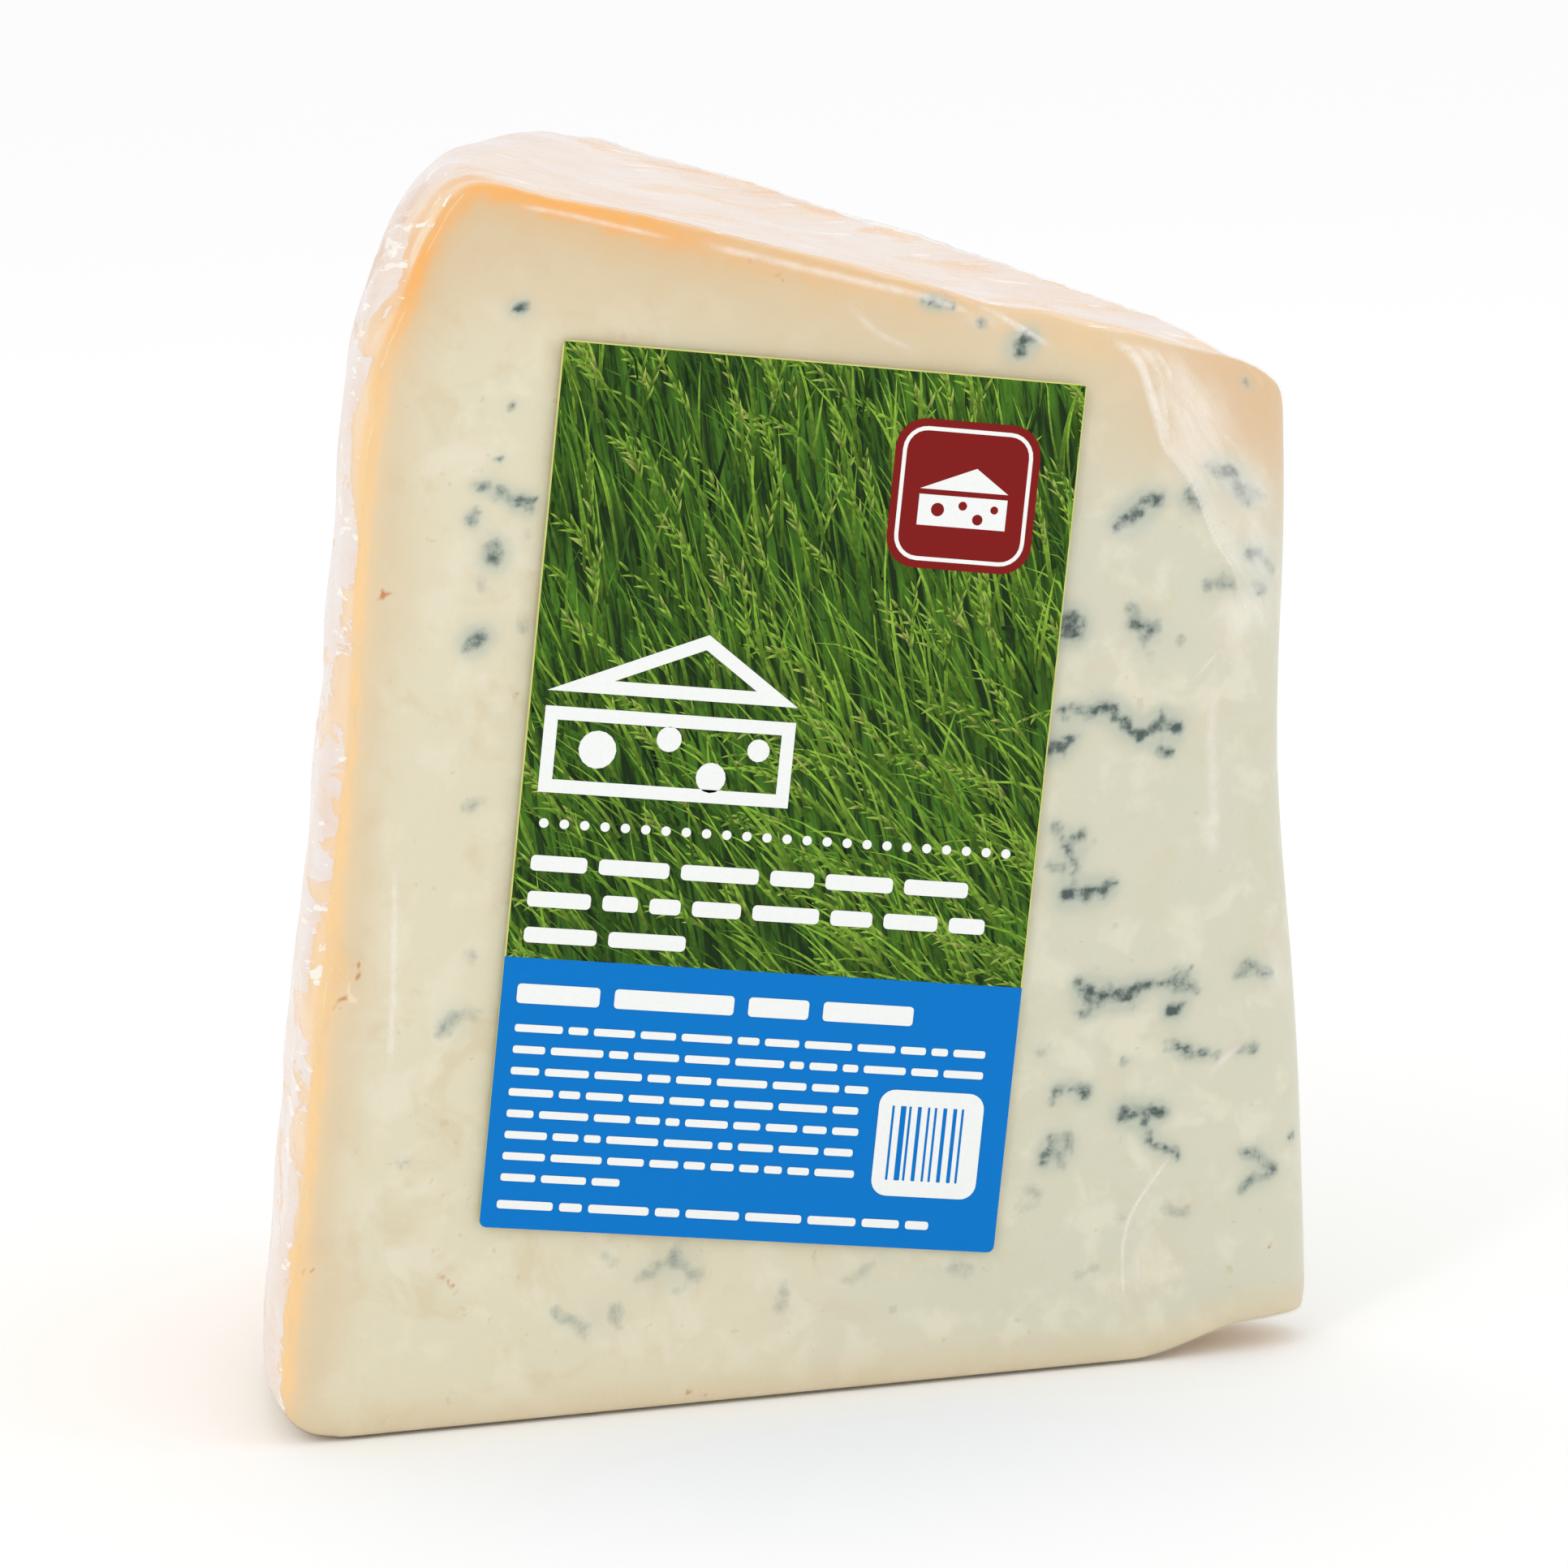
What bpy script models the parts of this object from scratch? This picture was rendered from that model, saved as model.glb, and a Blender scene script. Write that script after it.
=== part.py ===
"""A wedge cut from a small wheel of blue cheese, in tight clear film, with a paper label on its front cut.

Metres, +Z up. The wedge stands on the wheel's flat foot. Its labelled cut faces -Y, its narrow tip
points to +X and the rind wall to -X. It is modelled round the wheel's own axis and then moved, so that
the origin is the middle of the bounding box's base.
"""

import math

import bmesh
import bpy
from mathutils import Matrix, Vector, noise

# The wheel
WHEEL_RADIUS = 0.0883
WALL_LEAN = math.radians(7.9)
FOOT_ROUND = 0.0045
AXIS_HEIGHT = 0.0885
TOP_SLOPE = 0.287
SHOULDER_DROP = 0.0250
SHOULDER_REACH = 0.0080
SHOULDER_FULLNESS = 0.40
SCREW_STEPS = 160
ARC_STEPS = 12

# The cut
WEDGE_ANGLE = math.radians(41)
NOSE_RADIUS = 0.0058
FRONT = -NOSE_RADIUS
CUTTER_REACH = 0.130
CUTTER_HEIGHT = 0.180
CUTTER_FOOT = -0.030

# The skin of the solid
VOXEL = 0.0015
EDGE_ROUND = 0.0016
EDGE_SMOOTHING = 4
TARGET_TRIANGLES = 8400
FOOT_BAND = 0.0006
FOOT_FADE = 0.004
WELD_DISTANCE = 0.00001

# Low relief of the wrapped surface
WALL_RELIEF = 0.0007
TOP_RELIEF = 0.0004
RIND_WAVE = 0.017
FINE_WAVE = 0.0074
CUT_RELIEF = 0.00012
CUT_WAVE = 0.012

# The long edges between the cuts and the rind wall, worn back most half way up
WEAR_DEPTH = 0.0013
WEAR_WIDTH = 0.0035
WEAR_HEIGHT = 0.050
WEAR_LENGTH = 0.026
BACK_WEAR = 0.8

# Chips and dents in the rind as ((x, y, z) from the wheel's axis, radius, depth)
CHIPS = (
    ((-0.0795, FRONT, 0.0415), 0.0032, 0.0019),
    ((-0.0768, FRONT, 0.0765), 0.0028, 0.0009),
    ((-0.0838, FRONT, 0.0165), 0.0016, 0.0008),
    ((-0.0720, FRONT, 0.0960), 0.0035, 0.0008),
    ((-0.0050, FRONT, 0.0014), 0.0028, 0.0010),
)

# The tip: waisted half way up, its foot lifted and its top rounded down
TIP_START = -0.012
TIP_WAIST = 0.0013
TIP_WAIST_HEIGHT = 0.052
TIP_WAIST_LENGTH = 0.018
TIP_LIFT = 0.0026
TIP_LIFT_HEIGHT = 0.020
TIP_DROP = 0.0038
TIP_DROP_START = -0.0035

# The top stands a little higher along the back cut
BACK_RISE = 0.0010
BACK_RISE_REACH = 0.045
HIGH_START = 0.060
HIGH_FADE = 0.030

# The label
LABEL_WIDTH = 0.0457
LABEL_HEIGHT = 0.0762
LABEL_THICKNESS = 0.0003
LABEL_CORNER = 0.0006
LABEL_TILT = math.radians(8.2)
LABEL_FROM_AXIS = 0.0416
LABEL_CENTRE_HEIGHT = 0.0524
GAP = 0.0003

# Colours as linear red, green and blue
PASTE = (0.72, 0.63, 0.42)
LABEL_GREEN = (0.06, 0.20, 0.03)


def clear_scene():
    """Removes every object of the scene."""
    for item in list(bpy.data.objects):
        bpy.data.objects.remove(item, do_unlink=True)


def new_collection(name):
    """A collection in the scene."""
    group = bpy.data.collections.new(name)
    bpy.context.scene.collection.children.link(group)
    return group


def plain_material(name, colour, roughness):
    """A Principled material of one colour."""
    material = bpy.data.materials.new(name)
    material.use_nodes = True
    shader = material.node_tree.nodes["Principled BSDF"]
    shader.inputs["Base Color"].default_value = (*colour, 1.0)
    shader.inputs["Roughness"].default_value = roughness
    shader.inputs["Metallic"].default_value = 0.0
    return material


def as_mesh_object(source, name, group):
    """A new mesh object with the source's evaluated shape, in place of the source."""
    depsgraph = bpy.context.evaluated_depsgraph_get()
    mesh = bpy.data.meshes.new_from_object(source.evaluated_get(depsgraph), depsgraph=depsgraph)
    mesh.transform(source.matrix_world)
    bpy.data.objects.remove(source, do_unlink=True)
    result = bpy.data.objects.new(name, mesh)
    group.objects.link(result)
    return result


def smooth_step(value):
    """0 below 0, 1 above 1 and smooth between."""
    value = min(1.0, max(0.0, value))
    return value * value * (3.0 - 2.0 * value)


def bell(distance, width):
    """1 at no distance, falling smoothly to nothing at about two widths."""
    return math.exp(-((distance / width) ** 2))


def wall_radius(height):
    """The rind wall's distance from the wheel's axis at a height."""
    return WHEEL_RADIUS - height * math.tan(WALL_LEAN)


def top_height(radius):
    """The top's height at a distance from the wheel's axis."""
    return AXIS_HEIGHT + TOP_SLOPE * radius


def wheel_profile():
    """Half of the wheel's section as (radius, height), from the top's middle out and down to the foot's."""
    rim_height = (AXIS_HEIGHT + TOP_SLOPE * WHEEL_RADIUS) / (1.0 + TOP_SLOPE * math.tan(WALL_LEAN))
    rim = Vector((wall_radius(rim_height), rim_height))
    inner = Vector((rim.x - SHOULDER_REACH, top_height(rim.x - SHOULDER_REACH)))
    lower = Vector((wall_radius(rim.y - SHOULDER_DROP), rim.y - SHOULDER_DROP))
    points = []
    for step in range(ARC_STEPS):
        radius = inner.x * step / ARC_STEPS
        points.append(Vector((radius, top_height(radius))))
    for step in range(ARC_STEPS + 1):
        t = step / ARC_STEPS
        handle_in = inner.lerp(rim, SHOULDER_FULLNESS)
        handle_out = lower.lerp(rim, SHOULDER_FULLNESS)
        weights = ((1 - t) ** 3, 3 * t * (1 - t) ** 2, 3 * t * t * (1 - t), t**3)
        corners = (inner, handle_in, handle_out, lower)
        points.append(sum((w * c for w, c in zip(weights, corners)), Vector((0.0, 0.0))))
    foot_centre = Vector((wall_radius(FOOT_ROUND) - FOOT_ROUND / math.cos(WALL_LEAN), FOOT_ROUND))
    for step in range(ARC_STEPS + 1):
        angle = WALL_LEAN - (math.pi / 2 + WALL_LEAN) * step / ARC_STEPS
        points.append(foot_centre + FOOT_ROUND * Vector((math.cos(angle), math.sin(angle))))
    points.append(Vector((0.0, 0.0)))
    return points


def build_wheel(group):
    """The whole wheel, turned from its profile."""
    points = wheel_profile()
    mesh = bpy.data.meshes.new("wheel")
    edges = [(i, i + 1) for i in range(len(points) - 1)]
    mesh.from_pydata([(p.x, 0.0, p.y) for p in points], edges, [])
    wheel = bpy.data.objects.new("wheel", mesh)
    group.objects.link(wheel)
    turn = wheel.modifiers.new("turn", "SCREW")
    turn.angle = math.tau
    turn.steps = SCREW_STEPS
    turn.render_steps = SCREW_STEPS
    turn.use_merge_vertices = True
    turn.merge_threshold = WELD_DISTANCE
    return wheel


def build_sector(group):
    """The wedge's plan, raised past the wheel: two straight cuts that meet in the rounded nose."""
    front_far = Vector((-CUTTER_REACH, -NOSE_RADIUS))
    back_normal = Vector((math.sin(WEDGE_ANGLE), math.cos(WEDGE_ANGLE)))
    back_along = Vector((-math.cos(WEDGE_ANGLE), math.sin(WEDGE_ANGLE)))
    outline = [front_far]
    for step in range(ARC_STEPS + 1):
        angle = -math.pi / 2 + (math.pi - WEDGE_ANGLE) * step / ARC_STEPS
        outline.append(NOSE_RADIUS * Vector((math.cos(angle), math.sin(angle))))
    back_far = NOSE_RADIUS * back_normal + CUTTER_REACH * back_along
    outline.append(back_far)
    outline.append((front_far + back_far) * 1.2)
    curve = bpy.data.curves.new("sector_outline", "CURVE")
    curve.dimensions = "2D"
    curve.fill_mode = "BOTH"
    curve.extrude = CUTTER_HEIGHT / 2
    spline = curve.splines.new("POLY")
    spline.points.add(len(outline) - 1)
    for point, place in zip(spline.points, outline):
        point.co = (place.x, place.y, 0.0, 1.0)
    spline.use_cyclic_u = True
    shape = bpy.data.objects.new("sector_outline", curve)
    shape.location.z = CUTTER_HEIGHT / 2 + CUTTER_FOOT
    group.objects.link(shape)
    bpy.context.view_layer.update()
    sector = as_mesh_object(shape, "sector", group)
    weld(sector.data)
    sector.hide_render = True
    sector.display_type = "WIRE"
    return sector


def weld(mesh):
    """Joins the doubled points that a curve's caps leave."""
    work = bmesh.new()
    work.from_mesh(mesh)
    bmesh.ops.remove_doubles(work, verts=work.verts, dist=WELD_DISTANCE)
    bmesh.ops.recalc_face_normals(work, faces=work.faces)
    work.to_mesh(mesh)
    work.free()


def edge_wear(height, distance):
    """How far a long edge of the rind wall is worn back, at a height and a distance from that edge."""
    return WEAR_DEPTH * bell(height - WEAR_HEIGHT, WEAR_LENGTH) * bell(distance, WEAR_WIDTH)


def chip_depth(point):
    """How far the chips and dents take a point inwards."""
    return sum(depth * bell((point - Vector(place)).length, radius) for place, radius, depth in CHIPS)


def relief(point, normal):
    """How far the wrapped surface stands out at a point, less its chips and worn edges."""
    below_rind = wall_radius(point.z) - math.hypot(point.x, point.y)
    back_normal = Vector((math.sin(WEDGE_ANGLE), math.cos(WEDGE_ANGLE), 0.0))
    behind_front = point.y - FRONT
    before_back = NOSE_RADIUS - point.dot(back_normal)
    waves = noise.noise(point / RIND_WAVE) + 0.5 * noise.noise(point / FINE_WAVE)
    on_cut = smooth_step((abs(normal.y) - 0.9) / 0.08)
    on_wall = smooth_step((-normal.x - 0.3) / 0.4) * smooth_step((0.6 - abs(normal.z)) / 0.3)
    on_top = smooth_step((normal.z - 0.5) / 0.3)
    out = waves * (WALL_RELIEF * on_wall + TOP_RELIEF * on_top)
    out -= CUT_RELIEF * (1.0 + noise.noise(point / CUT_WAVE)) * on_cut
    out -= edge_wear(point.z, math.hypot(behind_front, below_rind))
    out -= edge_wear(point.z, math.hypot(before_back, below_rind)) * BACK_WEAR
    return out - chip_depth(point)


def settled(point):
    """How far the tip and the top have moved from the true wheel at a point."""
    near_tip = smooth_step(1.0 - point.x / TIP_START)
    waist = TIP_WAIST * bell(point.z - TIP_WAIST_HEIGHT, TIP_WAIST_LENGTH) * near_tip
    lift = TIP_LIFT * near_tip * smooth_step(1.0 - point.z / TIP_LIFT_HEIGHT)
    high = smooth_step((point.z - HIGH_START) / HIGH_FADE)
    rise = BACK_RISE * smooth_step(point.y / BACK_RISE_REACH) * high
    past = max(0.0, (point.x - TIP_DROP_START) / (NOSE_RADIUS - TIP_DROP_START))
    drop = TIP_DROP * past * past * high
    return Vector((-waist, 0.0, lift + rise - drop))


def add_relief(mesh):
    """Gives the smooth wedge its relief, and leaves its foot flat."""
    places = [vertex.co.copy() for vertex in mesh.vertices]
    normals = [vertex.normal.copy() for vertex in mesh.vertices]
    for vertex, place, normal in zip(mesh.vertices, places, normals):
        above_foot = smooth_step((place.z - FOOT_BAND) / FOOT_FADE)
        vertex.co = place + normal * relief(place, normal) * above_foot + settled(place)


def build_wedge(group, helpers):
    """The wrapped wedge as one solid."""
    wheel = build_wheel(helpers)
    sector = build_sector(helpers)
    cut = wheel.modifiers.new("cut", "BOOLEAN")
    cut.operation = "INTERSECT"
    cut.solver = "EXACT"
    cut.object = sector
    round_edges = wheel.modifiers.new("round_edges", "BEVEL")
    round_edges.width = EDGE_ROUND
    round_edges.segments = 3
    round_edges.limit_method = "ANGLE"
    round_edges.angle_limit = math.radians(45)
    skin = wheel.modifiers.new("skin", "REMESH")
    skin.mode = "VOXEL"
    skin.voxel_size = VOXEL
    soften = wheel.modifiers.new("soften", "SMOOTH")
    soften.factor = 0.5
    soften.iterations = EDGE_SMOOTHING
    bpy.context.view_layer.update()
    wedge = as_mesh_object(wheel, "cheese_wedge", group)
    add_relief(wedge.data)
    wedge.data.materials.clear()
    wedge.data.materials.append(plain_material("wrapped_cheese", PASTE, 0.35))
    triangles = sum(len(face.vertices) - 2 for face in wedge.data.polygons)
    thin = wedge.modifiers.new("thin_out", "DECIMATE")
    thin.ratio = TARGET_TRIANGLES / triangles
    wedge.data.shade_smooth()
    return wedge


def build_label(group):
    """The paper label, stuck to the wrap on the front cut and turned a little against the foot."""
    bpy.ops.mesh.primitive_cube_add(size=1.0, calc_uvs=False)
    label = bpy.context.object
    label.name = "label"
    label.data.name = "label"
    for holder in list(label.users_collection):
        holder.objects.unlink(label)
    group.objects.link(label)
    size = Matrix.Diagonal((LABEL_WIDTH, LABEL_THICKNESS, LABEL_HEIGHT, 1.0))
    label.data.transform(size)
    corners = label.modifiers.new("corners", "BEVEL")
    corners.affect = "EDGES"
    corners.limit_method = "WEIGHT"
    corners.width = LABEL_CORNER
    corners.segments = 3
    weights = label.data.attributes.new("bevel_weight_edge", "FLOAT", "EDGE")
    for edge in label.data.edges:
        ends = [label.data.vertices[i].co for i in edge.vertices]
        weights.data[edge.index].value = 1.0 if abs(ends[0].y - ends[1].y) > LABEL_THICKNESS / 2 else 0.0
    back_of_label = FRONT - GAP
    label.rotation_euler.y = LABEL_TILT
    label.location = (-LABEL_FROM_AXIS, back_of_label - LABEL_THICKNESS / 2, LABEL_CENTRE_HEIGHT)
    label.data.materials.append(plain_material("label_paper", LABEL_GREEN, 0.5))
    return label


def stand_on_origin(pieces):
    """Moves the pieces together, so that the origin is the middle of their bounding box's base."""
    bpy.context.view_layer.update()
    depsgraph = bpy.context.evaluated_depsgraph_get()
    places = []
    for piece in pieces:
        shape = piece.evaluated_get(depsgraph).data
        places += [piece.matrix_world @ vertex.co for vertex in shape.vertices]
    low = Vector([min(place[axis] for place in places) for axis in range(3)])
    high = Vector([max(place[axis] for place in places) for axis in range(3)])
    middle = (low + high) / 2
    for piece in pieces:
        piece.location -= Vector((middle.x, middle.y, low.z))


def main():
    clear_scene()
    part = new_collection("blue_cheese_wedge")
    helpers = new_collection("helpers")
    wedge = build_wedge(part, helpers)
    label = build_label(part)
    stand_on_origin([wedge, label])


main()
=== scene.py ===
"""The looks of a wrapped wedge of blue cheese: veined paste with its rind, clear film and a paper label.

Metres, +Z up. The labelled cut faces -Y, the narrow tip points to +X and the rind wall to -X. The forms are
modelled round the wheel's own axis, as the solids are, and then moved to the frame's place.
"""

import math
import random

import bpy
import numpy as np
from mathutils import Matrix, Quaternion, Vector, noise


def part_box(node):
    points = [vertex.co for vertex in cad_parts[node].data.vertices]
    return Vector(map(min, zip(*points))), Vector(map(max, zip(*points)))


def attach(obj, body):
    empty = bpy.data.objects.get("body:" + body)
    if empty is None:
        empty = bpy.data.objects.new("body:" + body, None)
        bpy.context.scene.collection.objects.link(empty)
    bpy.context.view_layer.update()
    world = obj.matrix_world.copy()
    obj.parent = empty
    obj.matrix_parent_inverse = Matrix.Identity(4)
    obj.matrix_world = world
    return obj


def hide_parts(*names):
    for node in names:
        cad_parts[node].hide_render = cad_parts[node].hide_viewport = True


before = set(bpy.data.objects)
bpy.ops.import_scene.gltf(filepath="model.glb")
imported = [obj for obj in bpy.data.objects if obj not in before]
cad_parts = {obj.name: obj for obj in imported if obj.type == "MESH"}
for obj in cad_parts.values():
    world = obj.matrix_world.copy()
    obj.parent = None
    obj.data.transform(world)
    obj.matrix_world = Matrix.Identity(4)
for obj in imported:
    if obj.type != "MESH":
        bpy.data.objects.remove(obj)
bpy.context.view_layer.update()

bl_info = {
    "name": "Wrapped blue cheese wedge",
    "version": (1, 0, 0),
    "blender": (4, 5, 0),
    "location": "3D View > Sidebar > Cheese",
    "description": "Builds a veined cheese wedge in clear film with a paper label",
    "category": "Object",
}

MM = 0.001

# The label's place, which the frame gives, and how the label lies on the wedge, as in the solids
LABEL_LOW, LABEL_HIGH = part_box("label")
LABEL_MIDDLE = (LABEL_LOW + LABEL_HIGH) / 2
GAP = 0.3 * MM
LABEL_FROM_AXIS = 0.0416
LABEL_CENTRE_HEIGHT = 0.0524

# The wheel and the cut, as in the solids
NOSE_RADIUS = 0.0058
FRONT = -NOSE_RADIUS
AXIS = Vector((
    LABEL_MIDDLE.x + LABEL_FROM_AXIS,
    LABEL_HIGH.y + GAP + NOSE_RADIUS,
    LABEL_MIDDLE.z - LABEL_CENTRE_HEIGHT,
))
FOOT_ROUND = 0.0045
SHOULDER_DROP = 0.0250
SHOULDER_REACH = 0.0080
SHOULDER_FULLNESS = 0.40
SPIN_STEPS = 160
ARC_STEPS = 12
CUTTER_REACH = 0.130
NOSE_STEPS = 96
CUTTER_HEIGHT = 0.180
CUTTER_FOOT = -0.030
WELD_DISTANCE = 0.00001

# The skin of the forms
VOXEL = 0.0008
EDGE_ROUND = 0.0016
EDGE_SMOOTHING = 12
FILM_CLEARANCE = 0.00016
TOP_BAND = 0.45
FOOT_BAND = 0.0006
FOOT_FADE = 0.004

# Loose film over the rind's shoulder, and the back corner of the top pressed down
TENT_RISE = 0.0011
TENT_WIDTH = 0.012
TENT_OUT = 0.0025
TENT_DOWN = 0.0050
TENT_START = 3.0
TENT_FULL = 9.0
CORNER_REACH = 60.0
CORNER_HEIGHT = 106.0
CORNER_DROP = 0.0009
CORNER_WIDTH = 0.011

# Low relief of the wrapped surface
WALL_RELIEF = 0.0007
TOP_RELIEF = 0.0004
RIND_WAVE = 0.017
FINE_WAVE = 0.0074
CUT_RELIEF = 0.00012
CUT_WAVE = 0.012

# The long edges between the cuts and the rind wall, worn back most half way up
WEAR_DEPTH = 0.0013
WEAR_WIDTH = 0.0035
WEAR_HEIGHT = 0.050
WEAR_LENGTH = 0.026
BACK_WEAR = 0.8

# Chips and dents in the rind as ((x, y, z) from the wheel's axis, radius, depth)
CHIPS = (
    ((-0.0812, FRONT, 0.0405), 0.0026, 0.0013),
    ((-0.0760, FRONT, 0.0870), 0.0030, 0.0009),
    ((-0.0838, FRONT, 0.0165), 0.0016, 0.0008),
    ((-0.0720, FRONT, 0.0960), 0.0035, 0.0008),
    ((-0.0050, FRONT, 0.0014), 0.0028, 0.0010),
)

# Places where only the wrapped edge is rounder, as (place, radius, depth)
SOFT_EDGES = (
    ((-0.0040, FRONT, 0.0892), 0.0042, 0.0012),
    ((-0.0125, FRONT, 0.0915), 0.0042, 0.0012),
    ((-0.0215, FRONT, 0.0940), 0.0042, 0.0008),
)

# The tip: waisted half way up, its foot lifted and its top rounded down
TIP_START = -0.012
TIP_WAIST = 0.0013
TIP_WAIST_HEIGHT = 0.052
TIP_WAIST_LENGTH = 0.018
TIP_LIFT = 0.0026
TIP_LIFT_HEIGHT = 0.020
TIP_DROP = 0.0048
TIP_DROP_START = -0.0045

# The top stands a little higher along the back cut
BACK_RISE = 0.0010
BACK_RISE_REACH = 0.045
HIGH_START = 0.060
HIGH_FADE = 0.030

# Mould on the front cut, in millimetres right of and above the label's centre:
# how dark, the half width of its spots, and the routes that it follows
MOULD = (
    (1.0, 0.42, (
        ((30, 22), (32.5, 23), (33.5, 24), (35, 24.5)), ((37, 24.5), (38, 23.5)),
        ((40, 26.5), (41.5, 26.5), (42, 25.5)), ((42.5, 19), (43.5, 19.5)), ((23, 14.5), (26.5, 14.5)),
        ((23.5, 13.5), (27, 13)), ((27.5, 6), (29.5, 6.5), (30, 5.5), (32, 3.5), (34.5, 4.5), (36.5, 4)),
        ((21.5, 2.5), (24, 3), (25, 3.5), (26, 4)), ((24.5, -10), (27, -10), (28, -9.5), (29.5, -9)),
        ((25.5, -18), (26.5, -18.5), (27.5, -19), (30, -19.5), (31.5, -18.5)),
        ((35, -20), (35, -21), (34, -21)), ((29, -30), (29.5, -29.5), (31, -30), (33.5, -30)),
        ((-21, 43.5),), ((-26.5, 15.5), (-25, 16.5)), ((19, 41), (19.5, 40.6)),
        ((24, 39.5), (22.5, 38.5), (22.5, 37.5)),)),
    (0.8, 0.30, (
        ((25.5, 5.5), (25, 6.5), (26, 6.5), (27.5, 6)), ((34.5, 5.5), (34.5, 3.5)),
        ((34, 2.5), (35, 1.5), (35.5, 2)), ((24, -3.5), (25.5, -5.5), (25.5, -7), (26, -7.5)),
        ((25.5, -5.5), (27, -4)), ((23.5, -7), (24.5, -7.5), (25.5, -8.5)),
        ((31.5, -18.5), (34.5, -18.5), (36.5, -17.5)), ((27, -19), (26, -21)),
        ((34, -24), (37, -25), (38.5, -25)), ((40, -25), (42.5, -25)), ((29.5, -25.5),),
        ((23, -28), (24, -27), (25, -27), (26.5, -28)), ((31.5, -30.5), (32, -32.5), (34.5, -34)),
        ((23, -31), (23, -32), (22, -34)), ((45, -33.5), (46, -33.5)), ((-22, 35.5),), ((-23.5, 31),),
        ((-25.5, 29), (-23.5, 29), (-22, 27.5), (-20, 27.5)), ((-26, 26), (-24.5, 27)),
        ((14, 42.5), (17, 42)), ((42, 35),),)),
    (0.34, 0.50, (
        ((31.5, 15), (32.5, 14), (31.5, 13.5), (32.5, 13), (34.5, 13)), ((32.5, 12),),
        ((38.5, 26.5), (40, 26.5)), ((42, 25.5), (44.5, 25)), ((41.5, 24.5), (43, 24.5)),
        ((43.5, 19.5), (45, 18)), ((38.5, 16.5), (41, 16.5), (41.5, 16)),
        ((43, 16.5), (44.5, 16), (44, 15.5)), ((36, 11.5), (36.5, 11.5)), ((27, -6),),
        ((34.5, -18.5), (37.5, -19.5)), ((40.5, -18.5), (41.5, -17.5), (44, -18.5)), ((22, -23.5),),
        ((26.5, -27), (26, -28)), ((23, -32.5), (24, -34)), ((23.5, -31.5), (25, -32)),
        ((40, -34.5), (41.5, -34.5), (43.5, -36.5), (40.5, -37.5), (40, -38.5)),
        ((-24.5, 24), (-23.5, 24), (-23.5, 22.5), (-24.5, 23)), ((-34.5, -28.5),),)),
    (0.11, 0.70, (
        ((-10.5, -37.5), (-11, -39), (-14.5, -40.5)), ((-11, -39), (-9.5, -41), (-8.5, -40.5)),
        ((33.5, 11), (33.5, 10)), ((20.5, -35.5), (22, -36.5)), ((20, -37), (21, -37)),
        ((33, -38.5), (35, -39.5), (35.5, -39)), ((28.5, -39), (29.5, -39)), ((25.5, -43.5), (27, -43.5)),
        ((-21, 25), (-21, 24.5)), ((-25, 21), (-25, 20)), ((-22, 18), (-21.5, 16)), ((-19, 30.5),),
        ((-28, 1.5), (-25.5, 2.5)), ((-30.5, -18), (-29.5, -16), (-27, -16)), ((-28, -10.5), (-27, -11.5)),
        ((-17.5, -38), (-15.5, -39)), ((-11, -42),), ((-16.5, -42.5), (-16, -45)),
        ((-22, -42.5), (-20, -43.5), (-19, -45)), ((-1.5, -42), (-2, -44.5)), ((4, -42.5), (6.5, -41.5)),
        ((13, -42), (15.5, -42.5)), ((8, -45.5),),)),
)
SPOT_STEP = 0.26
SPOT_JITTER = 0.22
SHOOT_CHANCE = 0.26
SHOOT_SPOTS = 5
HALO_SPREAD = 3.4
HALO_SHARE = 0.24
BACK_VEINS = 78
REFINE_SPREAD = 1.8
REFINE_FROM = 0.10

# Brown flecks and small cracks on the front cut, and a brown line along the chip's flake, placed as the mould
# is
FLECKS = (
    ((-34, 20), (-32.5, 20.5)), ((-32, -38.5), (-31, -39), (-30, -40.5)), ((-23, 11),), ((42.5, -45),),
    ((37, 34), (36, 33.6)), ((1.9, 45.6), (2.1, 44.9)), ((-0.9, 46.9), (-0.7, 46.5)),
    ((-11, -51), (-7.5, -51.6)), ((9, -51.6), (10, -51.8)), ((-43.9, -36.9), (-43.0, -37.3)),
    # These two routes draw a brown line along the bottom and right edges of the chip's flake
    ((-41.1, -14.5), (-39.6, -14.4), (-38.5, -13.7)), ((-38.2, -12.6), (-38.1, -10.6)),
)
FLECK_SIZE = 0.24
FLECK_INK = 0.8
SCAR_SHARE = 0.7
SCAR_INK = 0.9

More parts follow.
